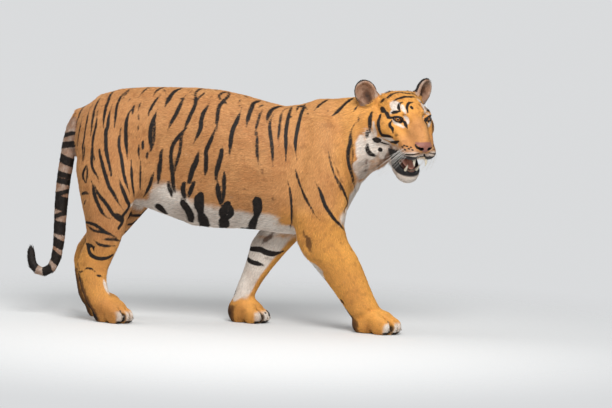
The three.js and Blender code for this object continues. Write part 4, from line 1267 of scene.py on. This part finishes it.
def markings(points, ways, weights):
    """Per point: distance to black, distance to brown, paleness, richness of the orange."""
    black = edge_distance(points, black_pattern)
    tail = weights["tail"] > 0.3
    if tail.any():
        black[tail] = np.minimum(black[tail], ring_distance(points[tail]))
    brown = edge_distance(points, brown_pattern)
    x, y, z = points.T
    middle = y - midline
    h = to_head(points)

    # belly, up to an edge that rises between the legs
    edge = np.interp(
        x,
        (-460, -420, -370, -330, -290, -245, -200, -150, -100, 0, 60, 110, 150, 190, 300),
        (430, 465, 515, 535, 565, 575, 545, 510, 492, 478, 462, 448, 430, 395, 380),
    )
    pale = weights["trunk"] * rise(edge - z, -40, 50) * rise(x, -480, -430) * rise(-x, -340, -250)
    pale = np.maximum(pale, weights["trunk"] * rise(-ways[:, 2], 0.25, 0.8) * rise(-z, -700, -500))

    # chest between the forelegs, and the inner sides of all four legs
    front = rise(ways[:, 0], 0.45, 0.9) * rise(x, 330, 430)
    front = front * rise(-z, -740, -660) * rise(z, 400, 470)
    front *= np.maximum(rise(-z, -510, -440), rise(-np.abs(middle), -85, -45))
    pale = np.maximum(pale, front * (1 - weights["head"]))
    inward = -ways[:, 1] * np.sign(middle)
    inner = weights["fore"] * rise(inward - 0.8 * ways[:, 0], 0.2, 0.8)
    inner += weights["hind"] * rise(inward + 0.9 * ways[:, 0], 0.45, 0.95) * rise(-z, -350, -280)
    inner *= rise(-z, -540, -440) * rise(z, 70, 150)
    pale = np.maximum(pale, inner)
    pale = np.maximum(pale, 0.35 * weights["tail"])

    # chin, ruff, throat, the neck under the head, and the lips
    # painted shade under the head: the white is only partly pale, and fades further back and lower
    # down
    chin = weights["head"] * rise(-h[:, 2], 118, 150) * (1 - 0.65 * rise(-h[:, 0], -10, 70))
    pale = np.maximum(pale, chin)
    ruff = weights["head"] * rise(-h[:, 0], 60, 110) * rise(-h[:, 2], 40, 90)
    ruff *= 1 - 0.5 * rise(-h[:, 2], 110, 170)
    pale = np.maximum(pale, 0.66 * ruff)
    throat = weights["head"] * rise(-h[:, 2], 90, 140) * rise(-h[:, 0], -30, 30)
    pale = np.maximum(pale, 0.5 * throat)
    shaded_under_head = rise(x, 498, 540) * rise(-h[:, 2], 70, 120) * rise(h[:, 2], -350, -300)
    shaded_under_head *= rise(h[:, 0], -330, -250)
    pale = np.maximum(pale, 0.48 * shaded_under_head)
    lip = weights["head"] * rise(-h[:, 2], 100, 126) * rise(h[:, 0], 20, 60)
    pale = np.maximum(pale, 0.9 * lip)

    # the pale patches that are drawn one by one, then how rich the orange is
    spots = edge_distance(points, pale_pattern)
    pale = np.maximum(pale, 1 - rise(spots, -11, 9))
    rich = -0.1 + 0.35 * rise(x, 40, 330) + 0.35 * rise(x, 380, 500)
    # painted shade: under the head and over the beard the orange dulls to brown-grey
    rich += 0.8 * weights["hind"] * rise(-z, -400, -250) - 1.8 * shaded_under_head * (1 - weights["head"])
    rich = np.maximum(rich, weights["fore"] * rise(-z, -560, -380))
    shaded_beard = np.maximum(ruff, np.maximum(chin, throat))
    rich = rich + weights["head"] * (0.3 - 0.6 * rise(h[:, 0], 10, 60) - 1.5 * shaded_beard)
    rich = np.where(weights["tail"] > 0.3, -1.0, rich)

    # dark backs of the lower legs, and painted shade in the creases between the toes
    heel = weights["foot"] * rise(-ways[:, 0], 0.2, 0.8) * rise(-z, -250, -140)
    for paw, (_, long, wide, _) in paws.items():
        q = in_paw(points, paw)
        ahead, aside = q[:, 0], np.abs(q[:, 1])
        heel[(aside < 90) & (ahead > -0.12 * long) & (ahead < 150) & (z < 110)] = 0
        toes = rise(ahead, 0.14 * long, 0.3 * long) * (ahead < long + 20) * (aside < 90)
        toes *= rise(ways[:, 0] + 0.5 * np.abs(ways[:, 1]), 0.1, 0.6) * rise(-z, -62, -36)
        pale = np.maximum(pale, 0.8 * toes)
        black = np.minimum(black, 4 - 8 * toes * rise(-z, -16, -7))
        front = (ahead > 0.2 * long) & (ahead < long) & (aside < 80) & (z < 75)
        # painted shade: a black line down each crease between two toes
        for (toe, _), (other, _) in zip(toe_places, toe_places[1:]):
            line = np.abs(q[front, 1] - (toe + other) / 2 * wide) - 4.4 * rise(-z[front], -70, -30)
            black[front] = np.minimum(black[front], line)
    brown = np.minimum(brown, 10 - 30 * heel)
    black = np.minimum(black, 5 - 5 * heel)

    # ears: rimmed in black, grey-pink inside, painted shade in the cup, black behind with a pale
    # spot
    ear = weights["ear"] > 0.4
    e = ear_place(h[ear])
    side = np.stack([np.ones(len(e)), np.sign(h[ear, 1]), np.ones(len(e))], 1)
    facing = ((ways[ear] @ head_axes) * side) @ ear_turn
    cup = rise(facing[:, 0], -0.15, 0.25)
    rim = np.linalg.norm(e[:, 1:] / (43, 53), axis=1)
    outer = 1 - rise(np.hypot(1.2 * e[:, 1] + 0.3 * e[:, 2], e[:, 2] - 4), 9, 22)
    pale[ear] = np.maximum(cup * (0.04 + 0.3 * rise(rim, 0.6, 0.95)), (1 - cup) * outer)
    rich[ear] = rich[ear] * (1 - cup) - cup
    # painted shade: the cup darkens to brown, then a little black, towards its deep middle
    cup_shade = 1 - rise(np.hypot((e[:, 1] + 3) / 26, (e[:, 2] + 16) / 46), 0.1, 1.3)
    brown[ear] = 9 - cup * (6 + 14 * cup_shade)
    behind = (1 - cup) * (1 - outer) * rise(e[:, 2], -34, -14)
    edge_dark = rise(rim, 0.93, 1.02) * rise(e[:, 2], -30, -5)
    black[ear] = 5 - 10 * np.maximum(np.maximum(behind, edge_dark), 0.5 * cup * cup_shade)
    return np.stack([black, brown, np.clip(pale, 0, 1), np.clip(rich, -1, 1)], 1)


def set_layer(mesh, name, values):
    """Gives each vertex its value under that name, for a material to read: a number or four."""
    kind, key = ("FLOAT_COLOR", "color") if values.ndim == 2 else ("FLOAT", "value")
    layer = mesh.attributes.new(name, kind, "POINT")
    layer.data.foreach_set(key, values.astype(np.float32).ravel())


set_layer(skin_mesh, "marks", markings(places, normals, regions))
set_layer(skin_mesh, "shade", np.zeros(len(places)))

# What is bare of hair: nose leather, lips, the inside of the mouth, the rims of the eyes, pads.
x, y, z = in_head.T
in_jaw = to_jaw(in_head)
mirrored, mirrored_jaw = folded(in_head), folded(in_jaw)
across = np.abs(y)
leather = rise(38 + 0.9 * (z + 72) - across, -1.5, 1.5) * rise(-z - 0.10 * across, 62, 66)
leather *= rise(z, -108, -104) * rise(x - 0.2 * across, 84, 90)
nostrils = 1 - rise(nostril(mirrored), 0.3, 1.8)
gape = np.minimum(
    ball(mirrored, (28, 0, -146), (66, 34, 20), 16),
    ball(mirrored_jaw, (22, 0, -142), (58, 33, 15), 2),
)
mouth = 1 - rise(gape, -1, 2)
jaw_lip = rise(in_jaw[:, 2], -168, -163) * rise(-z, 122, 128) * rise(x, -50, -40)
# the mouth's corner: the lips' own black, and painted shade in the fold of the corner
corner = 1 - rise(ball(mirrored, (-4, 50, -157), (38, 26, 20)), -2, 2)
upper_lip = rise(-(normals @ head_axes)[:, 2], 0.75, 0.95) * rise(-z, 130, 136) * rise(x, -20, 10)
upper_lip *= rise(in_jaw[:, 2], -150, -140)
lips = np.maximum(np.maximum(jaw_lip, corner), upper_lip) * (1 - mouth)
lips *= rise(z, -240, -220) * rise(-x, -130, -120) * (across < 75)
eye_space = np.linalg.norm(mirrored - eye_at, axis=1)
rims = (1 - rise(lid_gap(mirrored), 2.5, 4.5)) * (1 - rise(eye_space, 27, 31)) * (x > -26)
pads = rise(-normals[:, 2], 0.6, 0.9) * rise(-places[:, 2], -22, -8)
dark = np.maximum(np.maximum(rims, pads), nostrils * rise(x, 88, 94))
bare = np.stack([leather, np.clip(lips, 0, 1) * (1 - leather), mouth, dark], 1)
set_layer(skin_mesh, "bare", bare)
bald = np.clip(np.maximum(2 * bare.max(1), (1 - rise(gape, 4, 8)) * rise(-x, -110, -105)), 0, 1)


# ---- Coat colours -------------------------------------------------------------------------------
# One group of nodes turns the markings into colour, for the hide and for the tufts alike.
def node(tree, kind, inputs=(), **settings):
    """A node with these values or links at its inputs."""
    made = tree.nodes.new(kind)
    for key, value in settings.items():
        setattr(made, key, value)
    for socket, value in dict(inputs).items():
        if isinstance(value, bpy.types.NodeSocket):
            tree.links.new(value, made.inputs[socket])
        else:
            made.inputs[socket].default_value = value
    return made


def blend(tree, factor, a, b, how="MIX"):
    """The colour a mixed with b by the factor."""
    made = node(tree, "ShaderNodeMix", {0: factor, 6: a, 7: b}, data_type="RGBA", blend_type=how)
    return made.outputs[2]


def sloped(tree, value, low, high, to_low=0.0, to_high=1.0):
    """The value mapped smoothly from one range to another."""
    made = node(
        tree,
        "ShaderNodeMapRange",
        {0: value, 1: low, 2: high, 3: to_low, 4: to_high},
        interpolation_type="SMOOTHSTEP",
    )
    return made.outputs[0]


def maths(tree, how, a, b=0.0):
    """Two values added, multiplied and so on."""
    return node(tree, "ShaderNodeMath", {0: a, 1: b}, operation=how).outputs[0]


def object_place(tree):
    """The place on the object, which does not move with the camera."""
    return tree.nodes.new("ShaderNodeTexCoord").outputs["Object"]


def noise(tree, place, scale, detail):
    """A cloudy value between 0 and 1 over the surface."""
    inputs = {"Vector": place, "Scale": scale, "Detail": detail}
    return node(tree, "ShaderNodeTexNoise", inputs).outputs[0]


def unsteady(tree, value, middle, size):
    """A noise moved to that middle and stretched, to shift an edge to and fro."""
    return maths(tree, "MULTIPLY", maths(tree, "SUBTRACT", value, middle), size)


colours = bpy.data.node_groups.new("coat_colours", "ShaderNodeTree")
for name, kind in (
    ("Black", "NodeSocketFloat"), ("Brown", "NodeSocketFloat"), ("Pale", "NodeSocketFloat"),
    ("Rich", "NodeSocketFloat"), ("Shade", "NodeSocketFloat"),
):  # fmt: skip
    colours.interface.new_socket(name, in_out="INPUT", socket_type=kind)
colours.interface.new_socket("Colour", in_out="OUTPUT", socket_type="NodeSocketColor")
given = colours.nodes.new("NodeGroupInput").outputs
place = object_place(colours)
fine = noise(colours, place, 90.0, 3.0)
broad = noise(colours, place, 9.0, 4.0)
ragged = unsteady(colours, fine, 0.5, 2.4)

# Orange, paler or deeper by the body's rule, with broad clouds and streaks of brown in it.
sandy, golden = (0.60, 0.292, 0.110, 1), (0.84, 0.40, 0.085, 1)
orange = blend(colours, sloped(colours, given["Rich"], 0, 1), sandy, golden)
orange = blend(colours, sloped(colours, given["Rich"], 0, -1), orange, (0.34, 0.20, 0.13, 1))
clouds = sloped(colours, broad, 0.35, 0.7, 0.0, 0.45)
orange = blend(colours, clouds, orange, (0.44, 0.17, 0.05, 1))
streak = sloped(colours, noise(colours, place, 34.0, 5.0), 0.5, 0.72, 0.0, 0.36)
orange = blend(colours, streak, orange, (0.30, 0.11, 0.03, 1))

# White with a mottled edge, then the brown marks and the black ones.
mottle = unsteady(colours, noise(colours, place, 26.0, 4.0), 0.5, 0.9)
pale_edge = maths(colours, "ADD", given["Pale"], mottle)
cream, fawn = (0.88, 0.79, 0.70, 1), (0.58, 0.47, 0.39, 1)
white = blend(colours, sloped(colours, broad, 0.35, 0.75), cream, fawn)
coloured = blend(colours, sloped(colours, pale_edge, 0.15, 0.85), orange, white)
blotch = unsteady(colours, noise(colours, place, 38.0, 3.0), 0.45, 34.0)
brown_edge = maths(colours, "ADD", given["Brown"], maths(colours, "ADD", ragged, blotch))
browned = sloped(colours, brown_edge, 4.0, -7.0, 0.0, 0.8)
coloured = blend(colours, browned, coloured, (0.10, 0.035, 0.012, 1))
light = maths(colours, "ADD", maths(colours, "MULTIPLY", given["Shade"], 0.42), 0.95)
lit = node(colours, "ShaderNodeVectorMath", {0: coloured, 3: light}, operation="SCALE").outputs[0]
black_edge = maths(colours, "ADD", given["Black"], ragged)
soot, rust = (0.010, 0.007, 0.006, 1), (0.022, 0.015, 0.011, 1)
black = blend(colours, sloped(colours, fine, 0.3, 0.7), soot, rust)
coloured = blend(colours, sloped(colours, black_edge, 1.6, -1.2), lit, black)
colours.links.new(coloured, colours.nodes.new("NodeGroupOutput").inputs["Colour"])


def coat_shader(name, roughness):
    """A material whose base colour is the coat's, with its tree, shader and that colour."""
    material, tree, shader = new_material(name, roughness)
    shader.inputs["Specular IOR Level"].default_value = 0.3
    marks = node(tree, "ShaderNodeAttribute", attribute_name="marks")
    split = node(tree, "ShaderNodeSeparateColor", {0: marks.outputs["Color"]})
    shade = node(tree, "ShaderNodeAttribute", attribute_name="shade")
    group = node(tree, "ShaderNodeGroup", node_tree=colours)
    for socket, value in (
        ("Black", split.outputs[0]), ("Brown", split.outputs[1]), ("Pale", split.outputs[2]),
        ("Rich", marks.outputs["Alpha"]), ("Shade", shade.outputs["Fac"]),
    ):  # fmt: skip
        tree.links.new(value, group.inputs[socket])
    tree.links.new(group.outputs["Colour"], shader.inputs["Base Color"])
    return material, tree, shader, group.outputs["Colour"]


# The hide: the coat's colour a little deeper, and bare skin where there is no hair.
hide, tree, shader, under = coat_shader("hide", 0.7)
under = blend(tree, 1.0, under, (0.8, 0.74, 0.7, 1), "MULTIPLY")
bare_marks = node(tree, "ShaderNodeAttribute", attribute_name="bare")
split = node(tree, "ShaderNodeSeparateColor", {0: bare_marks.outputs["Color"]})
place = object_place(tree)
pebbles = node(tree, "ShaderNodeTexVoronoi", {"Vector": place, "Scale": 700.0}).outputs["Distance"]
grain = noise(tree, place, 260.0, 5.0)
leather_colour = blend(tree, pebbles, (0.20, 0.075, 0.055, 1), (0.36, 0.15, 0.11, 1))
is_leather, is_lip, is_mouth = split.outputs
under = blend(tree, is_leather, under, leather_colour)
under = blend(tree, is_lip, under, (0.012, 0.010, 0.010, 1))
flesh_colour = blend(tree, grain, (0.20, 0.05, 0.04, 1), (0.34, 0.11, 0.09, 1))
under = blend(tree, is_mouth, under, flesh_colour)
under = blend(tree, bare_marks.outputs["Alpha"], under, (0.010, 0.008, 0.008, 1))
tree.links.new(under, shader.inputs["Base Color"])
wet = maths(tree, "MAXIMUM", maths(tree, "MAXIMUM", is_leather, is_lip), is_mouth)
tree.links.new(sloped(tree, wet, 0, 1, 0.75, 0.38), shader.inputs["Roughness"])
height = node(tree, "ShaderNodeMix", {0: is_leather, 2: grain, 3: pebbles}).outputs[0]
bump = node(tree, "ShaderNodeBump", {"Height": height, "Strength": 0.35, "Distance": 0.002})
tree.links.new(bump.outputs[0], shader.inputs["Normal"])
skin_mesh.materials.append(hide)


# ---- Coat ---------------------------------------------------------------------------------------
# Tufts rooted over the whole hide: thin closed spikes lying along the coat, short on face and
# feet, long on ruff and belly. Each flank wears an under, a main and an over layer.
fur, tree, shader, colour = coat_shader("fur", 0.62)
strands = noise(tree, object_place(tree), 420.0, 2.0)
varied = blend(tree, sloped(tree, strands, 0.3, 0.7, 0, 0.14), colour, (0, 0, 0, 1))
tree.links.new(varied, shader.inputs["Base Color"])

chance = np.random.default_rng(11)
a, b, c = places[skin_faces].transpose(1, 0, 2)
face_area = 0.5 * np.linalg.norm(np.cross(b - a, c - a), axis=1)
hair_width = np.clip(0.1 * hair_length + 0.7, 1.0, 2.6)
wanted = (1 - bald) * rise(places[:, 2], 1, 6) / (hair_length * hair_width)
wanted = wanted[skin_faces].mean(1) * face_area
face_side = places[skin_faces, 1].mean(1) > midline
layers = (("under", 0.8, 4, -0.3), ("main", 1.0, 5.5, 0.0), ("over", 1.2, 7, 0.15))
most_tufts = 49_900  # per piece, which makes four triangles of each
tuft_corners = [0, 1, 3, 0, 3, 2, 1, 2, 3, 0, 2, 1]  # of those triangles: two root ends, back, tip
tuft_patch = np.array([(-1, -1), (1, -1), (0, 0), (0, 1)]) * 0.0015  # on the unwrap
floor_gap = 0.3  # no hair hangs lower
for side, chosen in (("right", ~face_side), ("left", face_side)):
    for layer_name, longer, lift, tone in layers:
        odds = wanted * chosen
        odds = odds * most_tufts * 0.995 / odds.sum()
        seeds = np.repeat(np.arange(len(odds)), (odds + chance.random(len(odds))).astype(int))
        seeds = seeds[chance.permutation(len(seeds))[:most_tufts]]
        count = len(seeds)
        u, v = chance.random((2, count))
        over = u + v > 1
        u, v = np.where(over, 1 - u, u), np.where(over, 1 - v, v)
        weight = np.stack([1 - u - v, u, v], 1)

        def at_roots(values):
            """A vertex value at the tufts' roots."""
            picked = values[skin_faces[seeds]]
            return (picked * (weight if picked.ndim == 2 else weight[:, :, None])).sum(1)

        root, out, way = at_roots(places), at_roots(normals), at_roots(lie)
        length = at_roots(hair_length) * longer * chance.uniform(0.7, 1.25, count)
        width = at_roots(hair_width) * chance.uniform(0.8, 1.2, count)
        across = np.cross(out, way)
        turn = chance.normal(0, 0.16, count)[:, None]
        way = way * np.cos(turn) + across * np.sin(turn)
        way -= out * (way * out).sum(1)[:, None]
        way /= np.maximum(np.linalg.norm(way, axis=1), 1e-6)[:, None]
        out /= np.linalg.norm(out, axis=1)[:, None]
        across = np.cross(out, way)
        tilt = np.radians(lift * chance.uniform(0.5, 1.5, count))[:, None]
        long, wide = length[:, None], width[:, None]
        spike = np.stack([
            root - across * wide / 2 - out * 0.6,
            root + across * wide / 2 - out * 0.6,
            root + way * 0.35 * long + out * (0.4 * wide + 0.35 * long * np.sin(tilt)),
            root + (way * np.cos(tilt) + out * np.sin(tilt)) * long,
        ], 1)
        spike[:, :, 2] = np.maximum(spike[:, :, 2], floor_gap)
        piece = bpy.data.meshes.new(f"coat_{side}_{layer_name}")
        piece.vertices.add(4 * count)
        piece.vertices.foreach_set("co", (spike * MM).astype(np.float32).ravel())
        ends = (np.arange(count) * 4)[:, None] + tuft_corners
        piece.loops.add(12 * count)
        piece.loops.foreach_set("vertex_index", ends.astype(np.int32).ravel())
        piece.polygons.add(4 * count)
        piece.polygons.foreach_set("loop_start", np.arange(0, 12 * count, 3, dtype=np.int32))
        piece.update(calc_edges=True)
        piece.shade_smooth()
        lean = np.stack([out - 0.5 * across, out + 0.5 * across, out, out + 0.35 * way], 1)
        lean /= np.linalg.norm(lean, axis=2)[:, :, None]
        piece.normals_split_custom_set_from_vertices(lean.reshape(-1, 3).tolist())
        spot = (face_unwrap[seeds] * weight[:, :, None]).sum(1)
        layer = piece.uv_layers.new(name="OFBake")
        corner_uv = (spot[:, None] + tuft_patch)[:, tuft_corners]
        layer.data.foreach_set("uv", corner_uv.astype(np.float32).ravel())
        weights = {k: at_roots(regions[k]) for k in regions}
        low, middle, high = (
            markings(root + way * share * long, out, weights) for share in (0, 0.4, 0.8)
        )
        seen = np.stack([low, low, middle, high], 1).reshape(-1, 4)
        # each tuft's tone varies at random; painted shade darkens its root and the under layer,
        # painted light brightens its tip and the over layer
        shade = chance.normal(tone, 0.3, count)
        shade = np.stack([shade - 0.5, shade - 0.5, shade, shade + 0.4], 1)
        set_layer(piece, "marks", seen)
        set_layer(piece, "shade", np.clip(shade, -1.6, 1.4).ravel())
        coat = in_scene(piece.name, piece)
        piece.materials.append(fur)
        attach(coat, "root")


# ---- Eyes ---------------------------------------------------------------------------------------
# Amber irises round black pupils under a clear bulging cornea, set back between the lids. Each
# is one ball, made of rings of points about the way it looks.
def ring_faces(rings, sides):
    """Faces over a point, so many rings of points, and a point at the other end."""
    last = 1 + (rings - 1) * sides
    faces = []
    for k in range(sides):
        n = (k + 1) % sides
        faces += [(0, 1 + n, 1 + k), (last + k, last + n, last + sides)]
        faces += [
            (low + k, low + n, low + sides + n, low + sides + k) for low in range(1, last, sides)
        ]
    return faces


def piece_of(name, shapes, material):
    """One piece from these points and faces in row millimetres, riding the body."""
    mesh = bpy.data.meshes.new(name)
    points, faces, start = [], [], 0
    for some_points, some_faces in shapes:
        points.append(some_points)
        faces += [tuple(start + k for k in face) for face in some_faces]
        start += len(some_points)
    mesh.from_pydata((np.concatenate(points) * MM).tolist(), [], faces)
    shape = bmesh.new()
    shape.from_mesh(mesh)
    bmesh.ops.recalc_face_normals(shape, faces=shape.faces[:])
    shape.to_mesh(mesh)
    shape.free()
    mesh.shade_smooth()
    mesh.materials.append(material)
    made = in_scene(name, mesh)
    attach(made, "root")
    return made


eye_stuff, tree, shader = new_material("wet_eye", 0.06)
shader.inputs["Coat Weight"].default_value = 0.6
shader.inputs["Coat Roughness"].default_value = 0.03
off_axis = node(tree, "ShaderNodeAttribute", attribute_name="off_axis").outputs["Fac"]
flecks = noise(tree, object_place(tree), 900.0, 3.0)
iris = blend(tree, flecks, (0.22, 0.07, 0.008, 1), (0.40, 0.16, 0.02, 1))
iris = blend(tree, sloped(tree, off_axis, 5.5, 3.5), iris, (0.16, 0.05, 0.006, 1))
iris = blend(tree, sloped(tree, off_axis, 8.8, 10.3), iris, (0.02, 0.008, 0.004, 1))
iris = blend(tree, sloped(tree, off_axis, 10.9, 11.8), iris, (0.16, 0.09, 0.07, 1))
iris = blend(tree, sloped(tree, off_axis, 3.7, 3.1), iris, (0.002, 0.002, 0.002, 1))
tree.links.new(iris, shader.inputs["Base Color"])
sides, bands = 40, 30
away = math.pi * (np.arange(bands + 1) / bands) ** 1.3  # angle from the way the eye looks
radius = 17.4 + 1.9 * (1 - rise(away, 0.15, 0.72))
turn = np.arange(sides) / sides * 2 * math.pi
behind_iris = 17.0  # what the colour reads on the ball's back half
for name, side in (("right", -1), ("left", 1)):
    middle, look = eye_at * (1, side, 1), eye_look * (1, side, 1)
    aside = np.cross(look, (0, 0, 1))
    aside /= np.linalg.norm(aside)
    above = np.cross(aside, look)
    ring = np.cos(turn)[:, None] * aside + np.sin(turn)[:, None] * above
    points = [middle + look * radius[0]]
    for angle, r in zip(away[1:-1], radius[1:-1]):
        points.extend(middle + r * (math.cos(angle) * look + math.sin(angle) * ring))
    points.append(middle - look * radius[-1])
    local = np.array(points)
    shapes = [(from_head(local), ring_faces(bands - 1, sides))]
    eyeball = piece_of(f"eyeball_{name}", shapes, eye_stuff)
    q = local - middle
    out = np.linalg.norm(q - (q @ look)[:, None] * look, axis=1)
    set_layer(eyeball.data, "off_axis", np.where(q @ look > 0, out, behind_iris))
    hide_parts(f"eye_{name}")


# ---- Tongue -------------------------------------------------------------------------------------
# Pink flesh rough with buds: broad, grooved down its middle and rounded at the tip. It is made
# in the closed jaw's coordinates, of rings along its length, and lies in the open one.
tongue_stuff, tree, shader = new_material("tongue_flesh", 0.38)
place = object_place(tree)
buds = node(tree, "ShaderNodeTexVoronoi", {"Vector": place, "Scale": 620.0}).outputs["Distance"]
patches = noise(tree, place, 60.0, 4.0)
flesh_tone = blend(tree, patches, (0.55, 0.19, 0.12, 1), (0.74, 0.34, 0.22, 1))
tree.links.new(blend(tree, buds, flesh_tone, (0.80, 0.42, 0.32, 1)), shader.inputs["Base Color"])
bump = node(tree, "ShaderNodeBump", {"Height": buds, "Strength": 0.4, "Distance": 0.001})
tree.links.new(bump.outputs[0], shader.inputs["Normal"])
sides, rings = 28, 26
turn = np.arange(sides) / sides * 2 * math.pi
points = [(-30.0, 0.0, -146.0)]
for t in np.linspace(0, 1, rings):
    round_tip = math.sqrt(max(1 - max(0, (t - 0.72) / 0.29) ** 2, 0.0))
    half = (24 - 3 * t) * max(round_tip, 0.05)
    thick = 8.5 * (1 - 0.35 * t) * max(round_tip, 0.2) ** 0.6
    y = half * np.cos(turn)
    z = thick * np.sin(turn)
    z = np.where(z > 0, z * (1 - 0.45 * np.exp(-((y / 5) ** 2))), z)
    middle = -145 + 7 * math.sin(2.4 * t) + 5 * max(0, t - 0.7)
    points.extend(np.stack([np.full(sides, -30 + 100 * t), y, middle + z + 0.002 * y**2], 1))
points.append((71.0, 0.0, -142.0))
shapes = [(from_head(from_jaw(points)), ring_faces(rings, sides))]
tongue = piece_of("tongue_soft", shapes, tongue_stuff)
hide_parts("tongue")


# ---- Teeth --------------------------------------------------------------------------------------
# Long curved canines, rows of small incisors between them and flat cheek teeth behind. All are
# bent cones of ivory, stained towards their roots, and each stands in its own jaw.
ivory, tree, shader = new_material("ivory", 0.28)
streaks = noise(tree, object_place(tree), 120.0, 4.0)
root_tone = node(tree, "ShaderNodeAttribute", attribute_name="root_tone").outputs["Fac"]
tone = blend(tree, sloped(tree, streaks, 0.35, 0.7), (0.74, 0.68, 0.55, 1), (0.60, 0.50, 0.35, 1))
tree.links.new(blend(tree, root_tone, tone, (0.42, 0.27, 0.15, 1)), shader.inputs["Base Color"])


def tube(path, radii, sides=8, up=(0, 0, 1), flat=1.0):
    """Points and faces of a closed tapering tube along a path, flattened towards `up`."""
    path = np.asarray(path, float)
    along = np.gradient(path, axis=0)
    along /= np.linalg.norm(along, axis=1)[:, None]
    a = np.cross(along, up)
    a /= np.linalg.norm(a, axis=1)[:, None]
    b = np.cross(along, a)
    turn = np.arange(sides) / sides * 2 * math.pi
    rings = [
        p + r * (np.cos(turn)[:, None] * u + flat * np.sin(turn)[:, None] * v)
        for p, r, u, v in zip(path, radii, a, b)
    ]
    points = np.concatenate([path[:1], *rings, path[-1:]])
    return points, ring_faces(len(path), sides)


def horn(base, tip, radius, bend, flat=1.0, sides=10):
    """A curved cone from base to tip, bent sideways by a vector, blunt at its point."""
    t = np.linspace(0, 1, 9)[:, None]
    path = np.array(base, float) * (1 - t) + np.array(tip, float) * t
    path = path + np.array(bend, float) * t * (1 - t) * 4
    radii = radius * (1 - 0.88 * t[:, 0] ** 1.6)
    return tube(path, radii, sides, (0.1, 1, 0), flat)


upper, lower = [], []
for side in (-1, 1):
    upper.append(horn((76, 24 * side, -126), (88, 25 * side, -170), 8.0, (4, 2 * side, 0)))
    lower.append(horn((60, 22 * side, -158), (74, 27 * side, -114), 7.2, (4, side, 0)))
    for y, size in ((3.2, 3.6), (9.6, 3.9), (16, 4.6)):  # incisors
        base, tip = (93 - 0.2 * y, y * side, -130), (94 - 0.2 * y, y * side, -143 - 0.3 * size)
        upper.append(horn(base, tip, size, (0.6, 0, 0), 0.8))
        base, tip = (69 - 0.1 * y, y * 0.85 * side, -156), (72 - 0.2 * y, y * 0.85 * side, -143)
        lower.append(horn(base, tip, size * 0.85, (0.5, 0, 0), 0.8))
    for x, wide, deep in ((52, 5.5, 10), (36, 8.5, 14), (16, 9.5, 15)):  # cheek teeth
        base, tip = (x, 32 * side, -129), (x - 2, 33 * side, -137 - deep)
        upper.append(horn(base, tip, wide, (0, side, 0), 0.6))
        base, tip = (x - 8, 29 * side, -158), (x - 9, 31 * side, -150 + 0.8 * deep)
        lower.append(horn(base, tip, wide * 0.9, (0, side, 0), 0.6))
for name, teeth, place_them in (
    ("teeth_upper", upper, from_head),
    ("teeth_lower", lower, lambda p: from_head(from_jaw(p))),
):
    made = piece_of(name, [(place_them(p), f) for p, f in teeth], ivory)
    near_root = [np.interp(np.linalg.norm(p - p[0], axis=1), (0, 16), (1, 0)) for p, _ in teeth]
    set_layer(made.data, "root_tone", np.concatenate(near_root))


# ---- Claws --------------------------------------------------------------------------------------
# Tips of the drawn-in claws, one at the front of each toe: short bent cones of brown horn that
# come out of the hair.
claw_horn, tree, shader = new_material("claw_horn", 0.35)
growth_lines = noise(tree, object_place(tree), 300.0, 3.0)
horn_colour = blend(tree, growth_lines, (0.12, 0.08, 0.055, 1), (0.42, 0.33, 0.24, 1))
tree.links.new(horn_colour, shader.inputs["Base Color"])
claws = []
for paw, ((x, y), long, wide, turn) in paws.items():
    c, s = math.cos(math.radians(turn)), math.sin(math.radians(turn))
    for across, tip in toe_places:
        ahead, aside = tip * long, across * wide
        points, faces = horn((ahead - 9, aside, 32), (ahead + 8, aside, 17), 3.8, (3, 0, 3), 0.7)
        dx, dy, z = points.T
        claws.append((np.stack([x + c * dx - s * dy, y + s * dx + c * dy, z], 1), faces))
piece_of("claws", claws, claw_horn)


# ---- Whiskers -----------------------------------------------------------------------------------
# Stiff pale bristles in rows on the whisker pads, swept back and down, and a few over the eyes.
# Each is a thin tapering tube, rooted on the skin and bending under its own weight.
bristle, tree, shader = new_material("bristle", 0.4)
mottle = noise(tree, object_place(tree), 40.0, 2.0)
bristle_colour = blend(tree, mottle, (0.70, 0.65, 0.58, 1), (0.86, 0.83, 0.78, 1))
tree.links.new(bristle_colour, shader.inputs["Base Color"])
whiskers = []
t = np.linspace(0, 1, 9)[:, None]
for side in (-1, 1):
    spots = [  # forward, up, and the bristle's length
        (84 - 13 * c - 3 * row, -104 - 9 * row, 70 + 19 * c + 8 * row)
        for row in range(3)
        for c in range(4)
    ]
    spots += [(2, 34, 26), (-6, 36, 32)]  # over the eye
    for x, z, long in spots:
        guess = from_head((x, 50 * side if z < 0 else 56 * side, z))
        root, out = skin_tree.find_nearest(guess.tolist())[:2]
        out = np.array(out) @ head_axes
        way = unit(*(out * 0.55 + ((-0.6, 0, -0.75) if z < 0 else (-0.4, 0, 0.7))))
        long = long * chance.uniform(0.85, 1.15)
        droop = np.array((-0.32, -0.10 * side, -0.08)) * long
        path = np.array(root) + from_head(way * long * t + droop * t**2) - head_at
        radii = 0.72 * (1 - 0.7 * t[:, 0])
        whiskers.append(tube(path, radii, 5))
piece_of("whiskers", whiskers, bristle)
